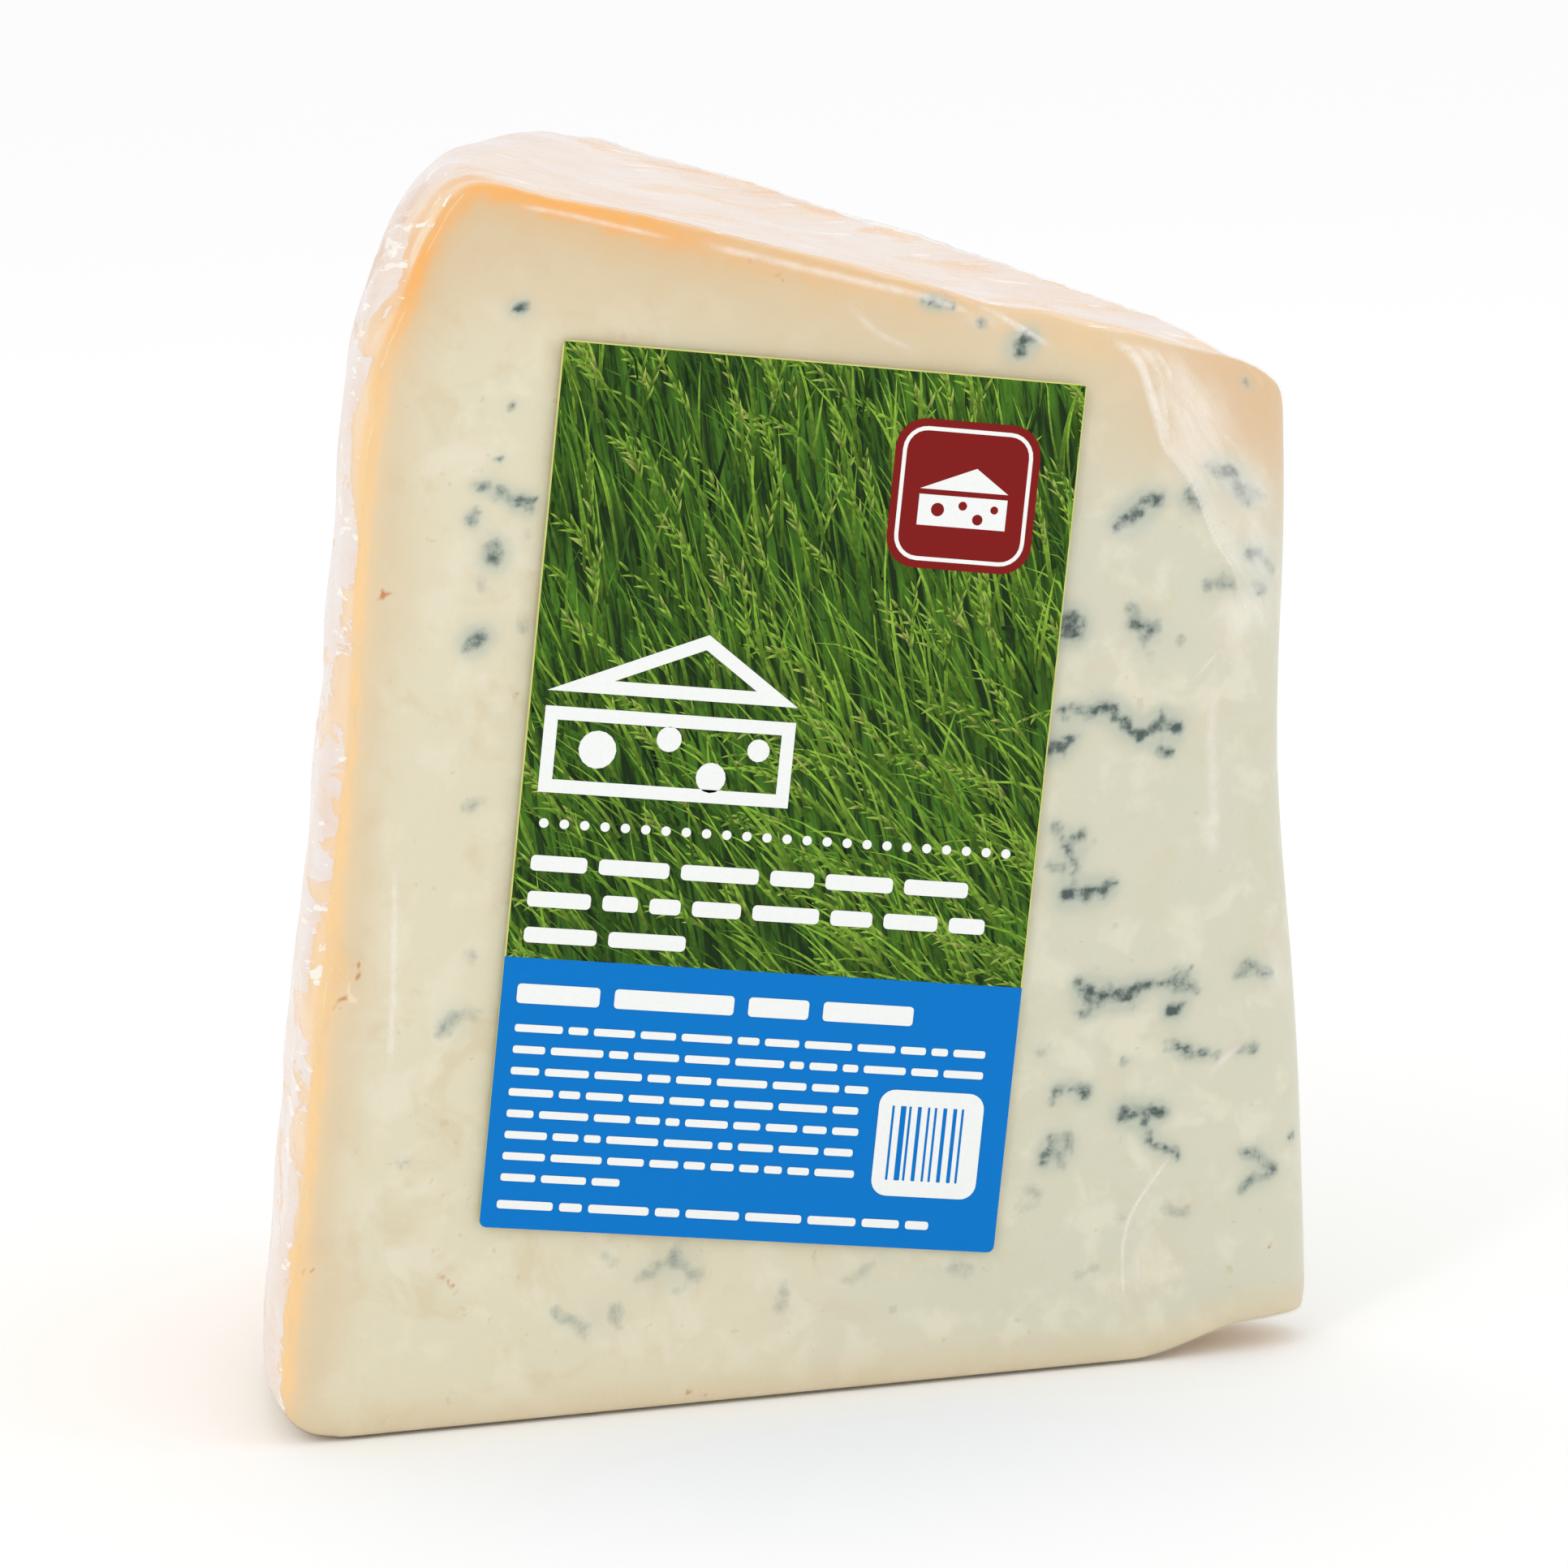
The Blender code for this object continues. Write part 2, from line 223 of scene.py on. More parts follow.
# Folds of the film on the front cut, placed as the mould is:
# half width and height in millimetres, how white, how far it laps to its left, and its route
FOLDS = (
    (0.45, 0.35, 0.75, 0.0, ((30.5, 39.5), (33.0, 36.5), (34.0, 33.0), (35.0, 28.5))),
    (0.38, 0.30, 0.55, 0.0, ((32.0, 39.0), (34.5, 36.0), (35.0, 32.5), (35.5, 28.0))),
    (0.42, 0.30, 0.65, 0.0, ((33.5, 38.5), (35.5, 36.0), (36.0, 33.0))),
    (0.22, 0.30, 0.65, 2.2, (
        (34.5, 30.5), (35.0, 28.5), (37.5, 25.0), (39.5, 20.5), (41.5, 17.5), (42.0, 16.0))),
    (0.60, 0.25, 0.40, 0.0, ((36.0, 33.0), (39.0, 31.0), (41.5, 28.5), (42.5, 27.0))),
    (0.22, 0.15, 0.45, 0.0, ((39.1, 27.0), (42.0, 24.6), (45.3, 22.9))),
    (0.20, 0.12, 0.40, 0.0, ((38.3, 29.0), (41.5, 26.8), (45.0, 26.0))),
    (0.22, 0.14, 0.45, 0.0, ((41.0, 16.7), (43.0, 16.9), (45.3, 17.7))),
    (0.20, 0.14, 0.40, 0.0, ((41.0, 14.6), (43.2, 14.7), (45.1, 15.7))),
    (0.22, 0.12, 0.35, 0.0, ((37.0, 7.6), (39.4, 9.8), (41.2, 11.8))),
    (0.25, 0.18, 0.40, 0.0, ((42.0, 13.0), (44.5, 13.2))),
    (0.25, 0.18, 0.35, 0.0, ((41.5, 12.2), (44.0, 12.3))),
    (0.75, 0.0, 0.30, 0.0, ((40.5, 8.0), (39.6, 4.0), (39.7, 0.5), (39.5, -5.0), (39.2, -8.5))),
    (0.40, 0.14, 0.30, 0.0, ((42.0, -23.5), (38.5, -26.0), (36.5, -28.0))),
    (0.18, 0.22, 0.50, 0.0, (
        (34.0, -33.5), (31.5, -36.5), (30.0, -38.7), (29.2, -41.0), (29.0, -43.5), (29.1, -47.0))),
    (0.30, 0.12, 0.25, 0.0, ((30.5, -41.5), (30.2, -47.0))),
    (0.35, 0.12, 0.25, 0.0, ((32.5, -43.5), (32.6, -47.5))),
    (0.25, 0.10, 0.22, 0.0, ((32.5, -34.0), (29.0, -35.5))),
    (0.35, 0.08, 0.30, 0.0, ((7.0, 43.0), (10.0, 39.9), (14.0, 37.8))),
    (0.35, 0.10, 0.35, 0.0, ((-33.6, -2.0), (-34.2, -12.0), (-35.0, -21.0))),
    (0.20, 0.12, 0.20, 0.0, ((-39.5, -32.0), (-40.1, -34.0), (-39.9, -36.5))),
    # The next route whitens the film along the cut's top edge; the one after is a painted highlight line
    # along the edge further left
    (0.35, 0.08, 0.55, 0.0, ((-5.0, 48.3), (0.0, 46.9), (5.0, 45.4), (12.0, 43.4), (19.0, 41.4))),
    (0.22, 0.06, 0.50, 0.0, ((-21.0, 52.4), (-17.0, 51.5), (-12.0, 50.1), (-7.0, 48.7))),
    (0.30, 0.25, 0.75, 0.0, ((17.0, 43.2), (20.0, 41.8), (23.5, 39.3), (25.5, 38.0))),
)

# Hazy places of the film on the front cut: middle, half width and half height, and share of white
HAZES = (
    ((38.5, 30.0), (2.8, 4.5), 0.58),
    ((36.5, 34.5), (1.8, 3.2), 0.38),
    ((42.5, 26.0), (2.6, 2.6), 0.55),
    ((43.5, 20.0), (2.0, 4.5), 0.38),
    ((43.0, 13.5), (2.8, 2.4), 0.42),
    ((44.8, -18.5), (1.6, 3.0), 0.35),
    ((31.5, 21.8), (2.0, 0.7), 0.35),
    ((20.0, 41.0), (3.0, 1.2), 0.35),
    ((34.0, 35.5), (1.6, 3.5), 0.25),
    ((40.0, 3.0), (0.9, 9.0), 0.20),
)
# Places on the rind where the film lies close and clear, as (place from the wheel's axis, spread)
BARE_PLACES = (
    ((-0.0715, FRONT, 0.1045), 0.0085),
    ((-0.0760, FRONT, 0.0860), 0.0050),
    ((-0.0812, FRONT, 0.0410), 0.0040),
    ((-0.0500, FRONT, 0.1030), 0.0060),
    ((-0.0300, FRONT, 0.0970), 0.0050),
    ((-0.0100, FRONT, 0.0910), 0.0060),
)

# Folds made by rule on the back cut and the base, and the steps between the points of a fold's route
BACK_FOLDS = 16
BASE_FOLDS = 14
BASE_HUB = (-0.050, 0.010, 0.0)
SEAM = ((34.0, 2.0), (34.6, 30.0), (33.6, 60.0), (34.4, 97.0))
SEAM_LAP = 5.0
FRONT_SPACING = 0.0006
SEAM_SPACING = 0.003
BACK_SPACING = 0.0015
BASE_SPACING = 0.002

# How the folds mark the film, in millimetres or as shares
FOLD_TAPER = 2.5
LAP_HAZE = 0.42
HAZE_DEPTH = 4.0
MARK_LIMIT = 20.0
FOLD_REACH = 1.1
FINE_FOLD_REACH = 0.55

# Label artwork, in millimetres from the label's centre
BLADE_STEPS = 5
SEEDS = 9
SEED_HEAD_CHANCE = 0.20
BLUE_TOP = -14.5
DOT_COUNT = 24
DOT_RADIUS = 0.42
DOT_ROW = (-20.6, 20.1, -2.85)
BADGE = (13.0, 27.7)
BAR_PANEL = (15.9, -28.8)
TRIM = 0.12
PAPER = GAP * 0.8
LABEL_CORNER = 0.6 * MM
INK = 0.00001
LAYER = 0.0000008
BLADE_LAYERS = 50
PRINT_LAYER = 54
DETAIL_LAYER = 58
PRINT_GLOSS = 0.10

# Rows of bars as (left, right, level), each kind with its height, roundness, shortest and longest bar
BOLD = (1.35, 0.3, 2.6, 7.0)
HEADING = (1.7, 0.2, 5.0, 10.5)
SMALL = (0.66, 0.35, 1.2, 4.6)
LAST = (0.74, 0.35, 1.8, 5.6)
SMALL_TOP = -20.6
SMALL_PITCH = 1.86
SMALL_ENDS = (20.2, 20.2, 10.4, 9.6, 9.6, 9.6, 9.6, -11.0)
BAR_ROWS = (
    ((-21.4, 18.5, -6.3), BOLD),
    ((-21.4, 18.9, -9.4), BOLD),
    ((-21.4, -4.1, -12.5), BOLD),
    ((-21.5, 13.4, -17.6), HEADING),
    *(((-21.4, end, SMALL_TOP - SMALL_PITCH * row), SMALL) for row, end in enumerate(SMALL_ENDS)),
    ((-21.5, 18.6, -36.0), LAST),
)

# The label itself, and the stage
LABEL_WIDTH = 0.0457
LABEL_HEIGHT = 0.0762
PRINT_HALF_WIDTH = LABEL_WIDTH / 2 / MM - TRIM
PRINT_TOP = LABEL_HEIGHT / 2 / MM - TRIM
LABEL_TILT = math.radians(8.2)
FLOOR_SIZE = 40.0
LIGHT_AIM = Vector((0.0, 0.0, 0.05))
AIM_RIGHT = 0.00014
AIM_UP = 0.0019


def shade(red, green, blue):
    """A display colour, 0 to 255 a channel, as the linear red, green and blue that Blender stores."""
    channels = (value / 255 for value in (red, green, blue))
    return tuple(v / 12.92 if v <= 0.04045 else ((v + 0.055) / 1.055) ** 2.4 for v in channels)


def colour_property(name, description, default):
    """A colour that a user can change."""
    return bpy.props.FloatVectorProperty(
        name=name, description=description, default=default, subtype="COLOR", min=0.0, max=1.0, size=3)


def number_property(name, description, default, **limits):
    """A size, an angle or a share that a user can change."""
    return bpy.props.FloatProperty(name=name, description=description, default=default, **limits)


class CHEESE_PG_form(bpy.types.PropertyGroup):
    """Sizes of the wheel and of the wedge cut from it."""

    wheel_radius: number_property(
        "Wheel radius", "Radius of the whole wheel at its foot", 0.0883, min=0.05, max=0.2, unit="LENGTH")
    wall_lean: number_property(
        "Wall lean", "How far the rind wall leans inwards",
        math.radians(7.9), min=0.0, max=math.radians(20), unit="ROTATION")
    axis_height: number_property(
        "Height at the axis", "Height of the wheel's top at its axis",
        0.0885, min=0.03, max=0.2, unit="LENGTH")
    top_slope: number_property(
        "Top slope", "Rise of the top for each metre out from the axis", 0.287, min=-0.2, max=0.5)
    wedge_angle: number_property(
        "Wedge angle", "Angle between the two cuts",
        math.radians(41), min=math.radians(15), max=math.radians(90), unit="ROTATION")


class CHEESE_PG_paste(bpy.types.PropertyGroup):
    """Colours of the paste, the rind and the mould."""

    warm: colour_property("Warm paste", "Paste near the rind side", shade(220, 212, 184))
    cool: colour_property("Cool paste", "Paste near the tip", shade(208, 206, 184))
    rind_edge: colour_property("Rind edge", "Cut edge of the rind", shade(240, 174, 92))
    rind_under: colour_property("Under the rind", "Paste just inside the rind", shade(222, 184, 132))
    rind_skin: colour_property("Rind skin", "Outer face of the rind", shade(240, 204, 164))
    mould_dark: colour_property("Dark mould", "Heart of a vein", shade(56, 74, 69))
    mould_mid: colour_property("Mould", "Body of a vein", shade(135, 146, 135))
    mould_halo: colour_property("Mould halo", "Paste tinted by a vein", shade(186, 190, 172))
    fleck: colour_property("Fleck", "Brown flecks and cracks", shade(196, 132, 72))


class CHEESE_PG_film(bpy.types.PropertyGroup):
    """The clear film's look."""

    veil: colour_property("Veil", "Film that stands off the rind", shade(230, 223, 221))
    veil_blush: colour_property("Veil blush", "Veil over a deeper rind", shade(228, 209, 197))
    veil_cover: number_property(
        "Veil cover", "How much of the rind a loose patch of film hides",
        0.82, min=0.0, max=1.0, subtype="FACTOR")
    fold_scale: number_property(
        "Fold height", "Scales the height of every fold", 1.0, min=0.0, max=2.0)


class CHEESE_PG_label(bpy.types.PropertyGroup):
    """The label's look."""

    deep: colour_property("Deep green", "Shade between the blades", shade(24, 44, 18))
    leaf: colour_property("Leaf green", "Middle of the blades", shade(74, 120, 34))
    bright: colour_property("Bright green", "Sunlit blades", shade(138, 180, 60))
    straw: colour_property("Straw", "Dry blades and seed heads", shade(162, 176, 88))
    blue: colour_property("Blue field", "Lower field of the label", shade(2, 116, 198))
    red: colour_property("Badge red", "The badge's field", shade(128, 26, 24))
    white: colour_property("Print white", "Rows, dots and pictures", shade(240, 242, 240))
    blade_count: bpy.props.IntProperty(
        name="Blades", description="Printed blades on the green field", default=1700, min=50, max=4000)


class CHEESE_PG_stage(bpy.types.PropertyGroup):
    """Camera and light."""

    azimuth: number_property(
        "Camera azimuth", "Turn of the camera round the wedge", math.radians(-12.14), unit="ROTATION")
    elevation: number_property(
        "Camera elevation", "Camera's angle above the horizon", math.radians(9.68), unit="ROTATION")
    roll: number_property(
        "Camera roll", "Turn of the camera about its own line of sight",
        math.radians(-2.26), unit="ROTATION")
    distance: number_property(
        "Camera distance", "From the aim point to the camera", 0.4854, min=0.1, unit="LENGTH")
    lens: number_property(
        "Focal length", "Focal length on a sensor 36 mm wide", 130.4, min=20.0)
    sky: number_property(
        "Sky strength", "Strength of the even light from all round", 1.0, min=0.0)
    key_power: number_property(
        "Key power", "Power of the tall soft light at the left", 1.1, min=0.0, subtype="POWER")
    floor: colour_property("Floor", "The pale floor", shade(252, 252, 252))


# Selection and modifiers


def select_only(piece):
    """Makes the piece the only one selected, and active."""
    bpy.ops.object.select_all(action="DESELECT")
    piece.select_set(True)
    bpy.context.view_layer.objects.active = piece


def begin_edit(piece):
    """Opens the piece in edit mode with everything selected."""
    select_only(piece)
    bpy.ops.object.mode_set(mode="EDIT")
    bpy.ops.mesh.select_all(action="SELECT")


def end_edit():
    bpy.ops.object.mode_set(mode="OBJECT")


def apply_modifier(piece, kind, **settings):
    """Adds a modifier with these settings and applies it."""
    select_only(piece)
    modifier = piece.modifiers.new(kind.lower(), kind)
    for name, value in settings.items():
        setattr(modifier, name, value)
    bpy.ops.object.modifier_apply(modifier=modifier.name)


def put_in_place(piece):
    """Applies the piece's own place, turn and scale to its mesh."""
    select_only(piece)
    bpy.ops.object.transform_apply(location=True, rotation=True, scale=True)


def select_faces(piece, wanted):
    """Selects the faces for which wanted, one truth value a vertex, holds at any corner."""
    mesh = piece.data
    corner = np.zeros(len(mesh.loops), np.int32)
    mesh.loops.foreach_get("vertex_index", corner)
    starts = np.zeros(len(mesh.polygons), np.int32)
    mesh.polygons.foreach_get("loop_start", starts)
    chosen = np.logical_or.reduceat(wanted[corner], starts)
    mesh.vertices.foreach_set("select", np.zeros(len(mesh.vertices), bool))
    mesh.edges.foreach_set("select", np.zeros(len(mesh.edges), bool))
    mesh.polygons.foreach_set("select", chosen)
    mesh.update()


def refine(piece, wanted_at):
    """Subdivides the faces near what wanted_at finds."""
    select_faces(piece, wanted_at(vertex_places(piece)))
    select_only(piece)
    bpy.context.tool_settings.mesh_select_mode = (False, False, True)
    bpy.ops.object.mode_set(mode="EDIT")
    bpy.ops.mesh.subdivide(number_cuts=1)
    end_edit()
    bpy.context.tool_settings.mesh_select_mode = (True, False, False)


def vertex_places(piece):
    """The piece's vertices as rows of x, y and z."""
    flat = np.zeros(len(piece.data.vertices) * 3)
    piece.data.vertices.foreach_get("co", flat)
    return flat.reshape(-1, 3)


def set_places(piece, places):
    piece.data.vertices.foreach_set("co", places.ravel())
    piece.data.update()


def vertex_normals(piece):
    """The piece's vertex normals as rows of x, y and z."""
    flat = np.zeros(len(piece.data.vertices) * 3, np.float32)
    piece.data.vertex_normals.foreach_get("vector", flat)
    return flat.reshape(-1, 3).astype(float)


def store(piece, name, values):
    """Keeps one number a vertex as an attribute that the materials read."""
    attribute = piece.data.attributes.new(name, "FLOAT", "POINT")
    attribute.data.foreach_set("value", np.asarray(values, np.float32))


# The wedge's form


def smooth_step(value):
    """0 below 0, 1 above 1 and smooth between."""
    value = min(1.0, max(0.0, value))
    return value * value * (3.0 - 2.0 * value)


def bell(distance, width):
    """1 at no distance, falling smoothly to nothing at about two widths."""
    return math.exp(-((distance / width) ** 2))


def wall_radius(height, form):
    """The rind wall's distance from the wheel's axis at a height."""
    return form.wheel_radius - height * math.tan(form.wall_lean)


def top_height(radius, form):
    """The top's height at a distance from the wheel's axis."""
    return form.axis_height + form.top_slope * radius


def wheel_profile(form):
    """Half of the wheel's section as (radius, height), from the top's middle out and down to the foot's."""
    lean = form.wall_lean
    slope = form.top_slope
    rim_height = (form.axis_height + slope * form.wheel_radius) / (1.0 + slope * math.tan(lean))
    rim = Vector((wall_radius(rim_height, form), rim_height))
    inner = Vector((rim.x - SHOULDER_REACH, top_height(rim.x - SHOULDER_REACH, form)))
    lower = Vector((wall_radius(rim.y - SHOULDER_DROP, form), rim.y - SHOULDER_DROP))
    points = []
    for step in range(ARC_STEPS):
        radius = inner.x * step / ARC_STEPS
        points.append(Vector((radius, top_height(radius, form))))
    for step in range(ARC_STEPS + 1):
        t = step / ARC_STEPS
        handle_in = inner.lerp(rim, SHOULDER_FULLNESS)
        handle_out = lower.lerp(rim, SHOULDER_FULLNESS)
        weights = ((1 - t) ** 3, 3 * t * (1 - t) ** 2, 3 * t * t * (1 - t), t**3)
        corners = (inner, handle_in, handle_out, lower)
        points.append(sum((w * c for w, c in zip(weights, corners)), Vector((0.0, 0.0))))
    foot_centre = Vector((wall_radius(FOOT_ROUND, form) - FOOT_ROUND / math.cos(lean), FOOT_ROUND))
    for step in range(ARC_STEPS + 1):
        angle = lean - (math.pi / 2 + lean) * step / ARC_STEPS
        points.append(foot_centre + FOOT_ROUND * Vector((math.cos(angle), math.sin(angle))))
    points.append(Vector((0.0, 0.0)))
    return points


def turned_wheel(name, form):
    """The whole wheel: its section drawn by extruding one point, and spun round the axis."""
    points = wheel_profile(form)
    bpy.ops.object.select_all(action="DESELECT")
    bpy.ops.mesh.primitive_plane_add(size=MM, location=(points[0].x, 0.0, points[0].y))
    wheel = bpy.context.object
    wheel.name = name
    wheel.data.name = name
    begin_edit(wheel)
    bpy.ops.mesh.merge(type="CENTER")
    for start, end in zip(points, points[1:]):
        step = (end.x - start.x, 0.0, end.y - start.y)
        bpy.ops.mesh.extrude_vertices_move(TRANSFORM_OT_translate={"value": step})
    bpy.ops.mesh.select_all(action="SELECT")
    bpy.ops.mesh.spin(steps=SPIN_STEPS, angle=math.tau, center=(0.0, 0.0, 0.0), axis=(0.0, 0.0, 1.0))
    bpy.ops.mesh.select_all(action="SELECT")
    bpy.ops.mesh.remove_doubles(threshold=WELD_DISTANCE)
    bpy.ops.mesh.normals_make_consistent(inside=False)
    end_edit()
    put_in_place(wheel)
    return wheel


def cutting_sector(form):
    """The wedge's plan, raised past the wheel: three upright cylinders of the nose's radius, hulled."""
    angle = form.wedge_angle
    middle = CUTTER_FOOT + CUTTER_HEIGHT / 2
    corners = (
        (0.0, 0.0, middle),
        (-CUTTER_REACH, 0.0, middle),
        (-CUTTER_REACH * math.cos(angle), CUTTER_REACH * math.sin(angle), middle),
    )
    pillars = []
    for corner in corners:
        bpy.ops.object.select_all(action="DESELECT")
        bpy.ops.mesh.primitive_cylinder_add(
            vertices=NOSE_STEPS, radius=NOSE_RADIUS, depth=CUTTER_HEIGHT, location=corner)
        put_in_place(bpy.context.object)
        pillars.append(bpy.context.object)
    sector = join(pillars, "sector")
    begin_edit(sector)
    bpy.ops.mesh.convex_hull()
    end_edit()
    return sector


def edge_wear(height, distance):
    """How far a long edge of the rind wall is worn back, at a height and a distance from that edge."""
    return WEAR_DEPTH * bell(height - WEAR_HEIGHT, WEAR_LENGTH) * bell(distance, WEAR_WIDTH)


def marks_depth(point, marks):
    """How deep the marks, each (place, radius, depth), are at a point."""
    return sum(depth * bell((point - Vector(place)).length, radius) for place, radius, depth in marks)


def worn(point, form):
    """How far the worn edges, chips and dents move a point, always square to the edge that they are in."""
    inside_wall = wall_radius(point.z, form) - math.hypot(point.x, point.y)
    back_normal = Vector((math.sin(form.wedge_angle), math.cos(form.wedge_angle), 0.0))
    before_back = NOSE_RADIUS - point.dot(back_normal)
    radial = Vector((point.x, point.y, 0.0)).normalized()
    front = edge_wear(point.z, math.hypot(point.y - FRONT, inside_wall)) + marks_depth(point, CHIPS)
    back = edge_wear(point.z, math.hypot(before_back, inside_wall)) * BACK_WEAR
    front_way = (radial + Vector((0.0, -1.0, 0.0))).normalized()
    back_way = (radial + back_normal).normalized()
    top_way = Vector((0.0, -1.0, 1.0)).normalized()
    return -(front_way * front + back_way * back + top_way * marks_depth(point, SOFT_EDGES))


def relief(point, normal):
    """How far the wrapped surface stands out at a point."""
    waves = noise.noise(point / RIND_WAVE) + 0.5 * noise.noise(point / FINE_WAVE)
    on_cut = smooth_step((abs(normal.y) - 0.9) / 0.08)
    on_wall = smooth_step((-normal.x - 0.3) / 0.4) * smooth_step((0.6 - abs(normal.z)) / 0.3)
    on_top = smooth_step((normal.z - 0.5) / 0.3)
    out = waves * (WALL_RELIEF * on_wall + TOP_RELIEF * on_top)
    return out - CUT_RELIEF * (1.0 + noise.noise(point / CUT_WAVE)) * on_cut


def settled(point):
    """How far the tip and the top have moved from the true wheel at a point."""
    near_tip = smooth_step(1.0 - point.x / TIP_START)
    waist = TIP_WAIST * bell(point.z - TIP_WAIST_HEIGHT, TIP_WAIST_LENGTH) * near_tip
    lift = TIP_LIFT * near_tip * smooth_step(1.0 - point.z / TIP_LIFT_HEIGHT)
    high = smooth_step((point.z - HIGH_START) / HIGH_FADE)
    rise = BACK_RISE * smooth_step(point.y / BACK_RISE_REACH) * high
    past = max(0.0, (point.x - TIP_DROP_START) / (NOSE_RADIUS - TIP_DROP_START))
    drop = TIP_DROP * past * past * high
    return Vector((-waist, 0.0, lift + rise - drop))


def wedge_form(name, form):
    """The smooth wedge, before its relief."""
    wedge = turned_wheel(name, form)
    sector = cutting_sector(form)
    apply_modifier(wedge, "BOOLEAN", operation="INTERSECT", solver="EXACT", object=sector)
    bpy.data.objects.remove(sector, do_unlink=True)
    apply_modifier(
        wedge, "BEVEL", width=EDGE_ROUND, segments=3, limit_method="ANGLE", angle_limit=math.radians(45))
    apply_modifier(wedge, "REMESH", mode="VOXEL", voxel_size=VOXEL)
    apply_modifier(wedge, "SMOOTH", factor=0.5, iterations=EDGE_SMOOTHING)
    return wedge


def add_relief(piece, form):
    """Gives the smooth wedge its relief, and leaves its foot flat."""
    corner = Vector(on_back(CORNER_REACH, CORNER_HEIGHT, form))
    normals = vertex_normals(piece)
    places = vertex_places(piece)
    for index, (place, normal) in enumerate(zip(places, normals)):
        point = Vector(place)
        outward = Vector(normal)
        above_foot = smooth_step((point.z - FOOT_BAND) / FOOT_FADE)
        moved = point + (outward * relief(point, outward) + worn(point, form)) * above_foot + settled(point)
        moved.z -= CORNER_DROP * bell((point - corner).length, CORNER_WIDTH)
        places[index] = moved
    set_places(piece, places)


def behind_cut(places, form):
    """How far each place lies behind the nearest cut or the nose, in millimetres."""
    x, y = places[:, 0], places[:, 1]
    angle = form.wedge_angle
    beyond_front = -y
    beyond_back = x * math.sin(angle) + y * math.cos(angle)
    inside = np.maximum(beyond_front, beyond_back)
    in_front = (beyond_front > 0) & (x < 0)
    along_back = -x * math.cos(angle) + y * math.sin(angle)
    in_back = (beyond_back > 0) & (along_back > 0)
    outside = np.where(in_front, beyond_front, np.where(in_back, beyond_back, np.hypot(x, y)))
    signed = np.where(inside <= 0, inside, outside)
    return (NOSE_RADIUS - signed) / MM


def below_rind(places, form):
    """How far each place lies inside the rind, in millimetres, counted slower below the top."""
    profile = [np.array(point) for point in wheel_profile(form)[:2 * ARC_STEPS + 1]]
    profile.append(np.array((form.wheel_radius, 0.0)))
    spots = np.stack([np.hypot(places[:, 0], places[:, 1]), places[:, 2]], axis=1)
    nearest = np.full(len(places), np.inf)
    for step, (start, end) in enumerate(zip(profile, profile[1:])):
        along = end - start
        share = np.clip((spots - start) @ along / (along @ along), 0.0, 1.0)
        way = spots - (start + share[:, None] * along)
        rate = 1.0 + (TOP_BAND - 1.0) * min(1.0, max(0.0, 1.5 - step / ARC_STEPS))
        nearest = np.minimum(nearest, np.linalg.norm(way, axis=1) * rate)
    return nearest / MM


def tented(places, form):
    """How far the film stands off the rind's shoulder at each place."""
    rim_height = top_height(form.wheel_radius, form) / (1.0 + form.top_slope * math.tan(form.wall_lean))
    outward = np.hypot(places[:, 0], places[:, 1]) - wall_radius(rim_height, form) + TENT_OUT
    upward = places[:, 2] - rim_height + TENT_DOWN
    near = np.exp(-(outward * outward + upward * upward) / TENT_WIDTH**2)
    behind = np.clip((behind_cut(places, form) - TENT_START) / (TENT_FULL - TENT_START), 0.0, 1.0)
    return TENT_RISE * near * behind


def on_front(u, v):
    """A place on the front cut or the nose, given in millimetres right of and above the label's centre."""
    x = u * MM - LABEL_FROM_AXIS
    y = -math.sqrt(max(0.0, NOSE_RADIUS**2 - max(0.0, x)**2))
    return np.array((x, y, v * MM + LABEL_CENTRE_HEIGHT))


def on_back(reach, height, form):
    """A place on the back cut, a distance out from the axis and above the foot, both in millimetres."""
    angle = form.wedge_angle
    normal = Vector((math.sin(angle), math.cos(angle), 0.0))
    along = Vector((-math.cos(angle), math.sin(angle), 0.0))
    place = normal * NOSE_RADIUS + along * reach * MM
    place.z = height * MM
    return np.array(place)


# Mould


def grown_spots(route, size, ink, rng):
    """Spots of mould along a route of places, uneven in size, with short side shoots."""
    route = [np.array(place) for place in route]
    if len(route) == 1:
        route.append(route[0] + np.array((0.8 * MM, 0.0, 0.35 * MM)))
    across = np.cross(route[-1] - route[0], (0.0, 0.0, 1.0))
    flat = np.array((across[1], -across[0], 0.0))
    flat = flat / (np.linalg.norm(flat) or 1.0)
    upward = np.array((0.0, 0.0, 1.0))
    spots = []
    for start, end in zip(route, route[1:]):
        count = max(2, round(np.linalg.norm(end - start) / (SPOT_STEP * MM)))
        for step in range(count):
            middle = start + (end - start) * (step + rng.random()) / count
            middle = middle + (flat * rng.gauss(0, SPOT_JITTER) + upward * rng.gauss(0, SPOT_JITTER)) * MM
            spots.append((middle, size * rng.uniform(0.5, 1.25), ink * rng.uniform(0.5, 1.2)))
            if rng.random() < SHOOT_CHANCE:
                heading = rng.uniform(0, math.tau)
                step_out = (flat * math.cos(heading) + upward * math.sin(heading)) * size * 0.8 * MM
                for shoot in range(1, rng.randint(2, SHOOT_SPOTS + 1)):
                    fade = 1.0 - shoot / (SHOOT_SPOTS + 2)
                    spots.append((middle + step_out * shoot, size * 0.6 * fade, ink * fade * 0.8))
    return spots


def front_spots():
    """The mould that shows on the front cut."""
    rng = random.Random(11)
    spots = []
    for ink, size, routes in MOULD:
        for route in routes:
            spots += grown_spots([on_front(*place) for place in route], size, ink, rng)
    return spots


def stepped(place, heading, stride):
    """The place one stride on, at a heading."""
    return place[0] + stride * math.cos(heading), place[1] + stride * math.sin(heading)


